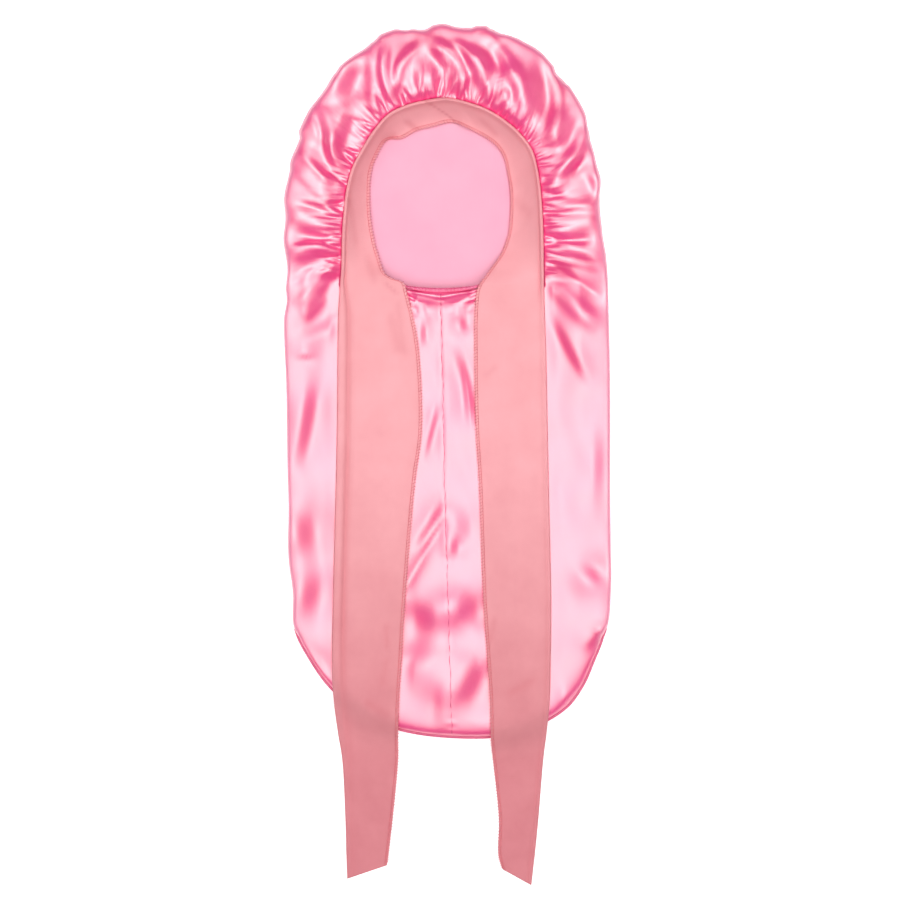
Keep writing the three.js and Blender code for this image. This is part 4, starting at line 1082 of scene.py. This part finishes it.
g_in = add_node(cloth_detail, "NodeGroupInput")
g_out = add_node(cloth_detail, "NodeGroupOutput")
stretch = add_node(cloth_detail, "ShaderNodeVectorMath", operation="MULTIPLY")
stretch.inputs[1].default_value = (1, 0.06, 1)
threads = add_node(cloth_detail, "ShaderNodeTexNoise", noise_dimensions="3D", Detail=2.0, Roughness=0.6)
slubs = add_node(cloth_detail, "ShaderNodeTexNoise", noise_dimensions="3D", Detail=3.0, Roughness=0.55)
link(
    cloth_detail,
    (g_in, "Position", stretch, 0), (stretch, "Vector", threads, "Vector"),
    (g_in, "Thread Pitch", threads, "Scale"), (threads, "Fac", g_out, "Height"),
    (g_in, "Position", slubs, "Vector"), (g_in, "Slub Length", slubs, "Scale"), (slubs, "Fac", g_out, "Tone"),
)
print("group", cloth_detail.name)


# %% What several materials share
def new_material(name):
    """A material with its Principled shader, and that shader's node tree."""
    material = bpy.data.materials.new(name)
    material.use_nodes = True
    tree = material.node_tree
    return material, tree, tree.nodes["Principled BSDF"]


def linear(red, green, blue):
    """A colour picked on a screen, 0 to 255, as the linear values that shaders use."""
    c = np.array([red, green, blue]) / 255
    return (*np.where(c <= 0.04045, c / 12.92, ((c + 0.055) / 1.055) ** 2.4).tolist(), 1.0)


def tone_ramp(tree, dark, light):
    """A ramp between two screen colours, steep round the noise's middle."""
    ramp = add_node(tree, "ShaderNodeValToRGB")
    for element, position, colour in zip(ramp.color_ramp.elements, (0.3, 0.7), (dark, light)):
        element.position, element.color = position, linear(*colour)
    return ramp


def set_inputs(node, values):
    """Gives a node's inputs their values, by name or number."""
    for key, value in values.items():
        node.inputs[key].default_value = value


def add_detail(tree, pitch, slub):
    """The cloth's fine detail, with the scales of its threads and of its dye."""
    detail = add_node(tree, "ShaderNodeGroup", node_tree=cloth_detail)
    set_inputs(detail, {"Thread Pitch": pitch, "Slub Length": slub})
    return detail


def plain_finish(name, scales, dark, light, bump, look):
    """A cloth or thread with one dye, its fine detail and an even shine. bump is the strength and the
    distance, and look holds the shader's other values."""
    material, tree, shader = new_material(name)
    place, detail = add_node(tree, "ShaderNodeTexCoord"), add_detail(tree, *scales)
    dye = tone_ramp(tree, dark, light)
    bumps = add_node(tree, "ShaderNodeBump", Strength=bump[0], Distance=bump[1])
    link(
        tree,
        (place, "Object", detail, "Position"), (detail, "Tone", dye, "Fac"),
        (dye, "Color", shader, "Base Color"), (detail, "Height", bumps, "Height"),
        (bumps, "Normal", shader, "Normal"),
    )
    set_inputs(shader, look)
    return material


# %% Glossy satin
satin, tree, shader = new_material("glossy_pink_satin")
place = add_node(tree, "ShaderNodeTexCoord")
detail = add_detail(tree, 1500, 22)
dye = tone_ramp(tree, (250, 20, 128), (255, 36, 142))
link(tree, (place, "Object", detail, "Position"), (detail, "Tone", dye, "Fac"))
# painted sheen: near the outline and on the turned-under side the pink is painted paler, standing in for the
# light that the rolled cloth reflects there
near_outline = add_node(tree, "ShaderNodeAttribute", attribute_name="near_outline")
painted_sheen_share = add_node(tree, "ShaderNodeMapRange", **{"To Max": 0.55})
turned = add_node(tree, "ShaderNodeMix", data_type="RGBA")
turned.inputs[7].default_value = linear(246, 160, 194)
link(
    tree,
    (near_outline, "Fac", painted_sheen_share, "Value"), (painted_sheen_share, "Result", turned, "Factor"),
    (dye, "Color", turned, 6), (turned, 2, shader, "Base Color"),
)
# fine lines that the gathering pulls into the cloth, square to the band
cloth_place = add_node(tree, "ShaderNodeUVMap", uv_map="cloth")
lengthen = add_node(tree, "ShaderNodeVectorMath", operation="MULTIPLY")
lengthen.inputs[1].default_value = (1, 0.16, 1)
pulled = add_node(tree, "ShaderNodeTexNoise", Scale=170.0, Detail=2.0, Roughness=0.5)
strength = add_node(tree, "ShaderNodeAttribute", attribute_name="pull")
pull_height = add_node(tree, "ShaderNodeMath", operation="MULTIPLY")
pull_bump = add_node(tree, "ShaderNodeBump", Strength=0.5, Distance=0.0022)
thread_bump = add_node(tree, "ShaderNodeBump", Strength=0.12, Distance=0.0002)
link(
    tree,
    (cloth_place, "UV", lengthen, 0), (lengthen, "Vector", pulled, "Vector"), (pulled, "Fac", pull_height, 0),
    (strength, "Fac", pull_height, 1), (pull_height, "Value", pull_bump, "Height"),
    (detail, "Height", thread_bump, "Height"), (pull_bump, "Normal", thread_bump, "Normal"),
    (thread_bump, "Normal", shader, "Normal"),
)
# the gathers draw the crown's cloth tight, so it shines more sharply than the limp sleeve
way_up = add_node(tree, "ShaderNodeSeparateXYZ")
tightness = add_node(tree, "ShaderNodeMapRange")
set_inputs(tightness, {"From Min": 0.1, "From Max": 0.24, "To Min": 0.43, "To Max": 0.37})
link(
    tree,
    (place, "Object", way_up, "Vector"), (way_up, "Y", tightness, "Value"),
    (tightness, "Result", shader, "Roughness"),
)
set_inputs(shader, {"IOR": 3.25, "Specular Tint": (1.0, 0.96, 0.86, 1.0)})

# %% Dull inner side of the satin, and its doubled edges
lining = plain_finish(
    "dull_satin_inner_side", (900, 14), (247, 170, 195), (253, 180, 203), (0.25, 0.0003), {"Roughness": 0.75}
)
casing = plain_finish(
    "doubled_satin_edge", (700, 60), (218, 70, 120), (234, 96, 144), (0.4, 0.0004),
    {"Roughness": 0.42, "IOR": 1.8},
)

# %% Matte knit jersey
knit, tree, shader = new_material("salmon_knit_jersey")
cloth_place = add_node(tree, "ShaderNodeUVMap", uv_map="cloth")
detail = add_detail(tree, 1100, 26)
wales = add_node(
    tree, "ShaderNodeTexWave", wave_type="BANDS", bands_direction="Y", Scale=330.0, Distortion=1.2, Detail=1.0
)
fibres = add_node(tree, "ShaderNodeMath", operation="MULTIPLY_ADD")
fibres.inputs[1].default_value = 0.6
dye = tone_ramp(tree, (243, 165, 171), (249, 174, 180))
# painted shade: towards the ties' tips the salmon is painted darker, for the light that falls off there
tip_painted_shade = tone_ramp(tree, (212, 125, 133), (220, 135, 142))
toward_tip = add_node(tree, "ShaderNodeAttribute", attribute_name="toward_tip")
dye_and_tip_shade = add_node(tree, "ShaderNodeMix", data_type="RGBA")
crease_shade = add_node(tree, "ShaderNodeAttribute", attribute_name="crease_shade")
deeper = add_node(tree, "ShaderNodeMapRange", **{"From Max": 1.5, "To Max": 0.7})
in_shade = add_node(tree, "ShaderNodeMix", data_type="RGBA")
in_shade.inputs[7].default_value = linear(214, 116, 124)
bump = add_node(tree, "ShaderNodeBump", Strength=0.35, Distance=0.0004)
link(
    tree,
    (cloth_place, "UV", detail, "Position"), (cloth_place, "UV", wales, "Vector"),
    (detail, "Tone", dye, "Fac"), (detail, "Tone", tip_painted_shade, "Fac"),
    (wales, "Fac", fibres, 0), (detail, "Height", fibres, 2), (fibres, "Value", bump, "Height"),
    (bump, "Normal", shader, "Normal"), (toward_tip, "Fac", dye_and_tip_shade, "Factor"),
    (dye, "Color", dye_and_tip_shade, 6), (tip_painted_shade, "Color", dye_and_tip_shade, 7),
    (crease_shade, "Fac", deeper, "Value"), (deeper, "Result", in_shade, "Factor"),
    (dye_and_tip_shade, 2, in_shade, 6), (in_shade, 2, shader, "Base Color"),
)
set_inputs(shader, {"Roughness": 0.85, "Sheen Weight": 0.1})

# %% Sewing thread
thread = plain_finish(
    "rose_sewing_thread", (2500, 120), (220, 112, 123), (232, 132, 141), (0.5, 0.0001), {"Roughness": 0.55}
)

# %% Put the finishes on the pieces
for piece, finishes, slot in (
    (satin_bag, (satin, lining), "satin"),
    (nape_casing, (casing,), "satin_casing"),
    (hem_lip, (casing,), "satin_casing"),
    (centre_seam, (casing,), "satin"),
    (knit_strip, (knit,), "knit"),
    (overlock_loops, (thread,), "knit"),
    (overlock_chain, (thread,), "knit"),
):
    for finish in finishes:
        piece.data.materials.append(finish)
    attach(piece, "root")
satin_bag.data.polygons.foreach_set("material_index", inner_side)
print("finishes placed")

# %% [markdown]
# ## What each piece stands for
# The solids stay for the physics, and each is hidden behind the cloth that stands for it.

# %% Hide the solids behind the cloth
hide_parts("satin_bag")
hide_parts("nape_casing")
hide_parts("hem_seam")
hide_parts("head_band", "tie_left", "tie_right")

# %% [markdown]
# ## Floor and light
# A plain white floor and large soft lights, as in a catalogue photograph. Satin shows the lights as its
# sheen, so their size and place matter more than their strength.

# %% White floor
floor_mesh = bpy.data.meshes.new("floor")
corners = [(x, y, -0.0003) for x, y in ((-4, -4), (4, -4), (4, 4), (-4, 4))]
floor_mesh.from_pydata(corners, [], [(0, 1, 2, 3)])
floor = bpy.data.objects.new("floor", floor_mesh)
bpy.context.collection.objects.link(floor)
paper, tree, shader = new_material("white_paper")
set_inputs(shader, {
    "Base Color": (0.93, 0.93, 0.93, 1), "Roughness": 0.9,
    "Emission Color": (1, 1, 1, 1), "Emission Strength": 0.45,
})
floor_mesh.materials.append(paper)


# %% Soft lights
def softbox(name, place, size, power, aim=(0, 0.02, 0)):
    """A rectangular light at a place, turned to face the bonnet, unseen by the camera itself."""
    data = bpy.data.lights.new(name, "AREA")
    data.shape, data.size, data.size_y, data.energy = "RECTANGLE", *size, power
    lamp = bpy.data.objects.new(name, data)
    lamp.location = place
    away = np.array(place) - np.array(aim)
    lamp.rotation_euler = Vector(away.tolist()).to_track_quat("Z", "Y").to_euler()
    lamp.visible_camera = False
    bpy.context.collection.objects.link(lamp)


softbox("overhead", (0.0, 0.1, 2.4), (3.4, 3.4), 68)
softbox("core", (0.0, 0.1, 2.6), (1.2, 1.2), 11)
softbox("left", (-2.2, 0.1, 1.7), (1.2, 2.0), 4.6)
softbox("right", (2.2, 0.1, 1.7), (1.2, 2.0), 4.6)
room = bpy.data.worlds.new("room")
room.use_nodes = True
set_inputs(room.node_tree.nodes["Background"], {"Color": (1, 1, 1, 1), "Strength": 0.17})
bpy.context.scene.world = room
bpy.context.scene.view_settings.view_transform = "Standard"
print("four softboxes and a pale room")
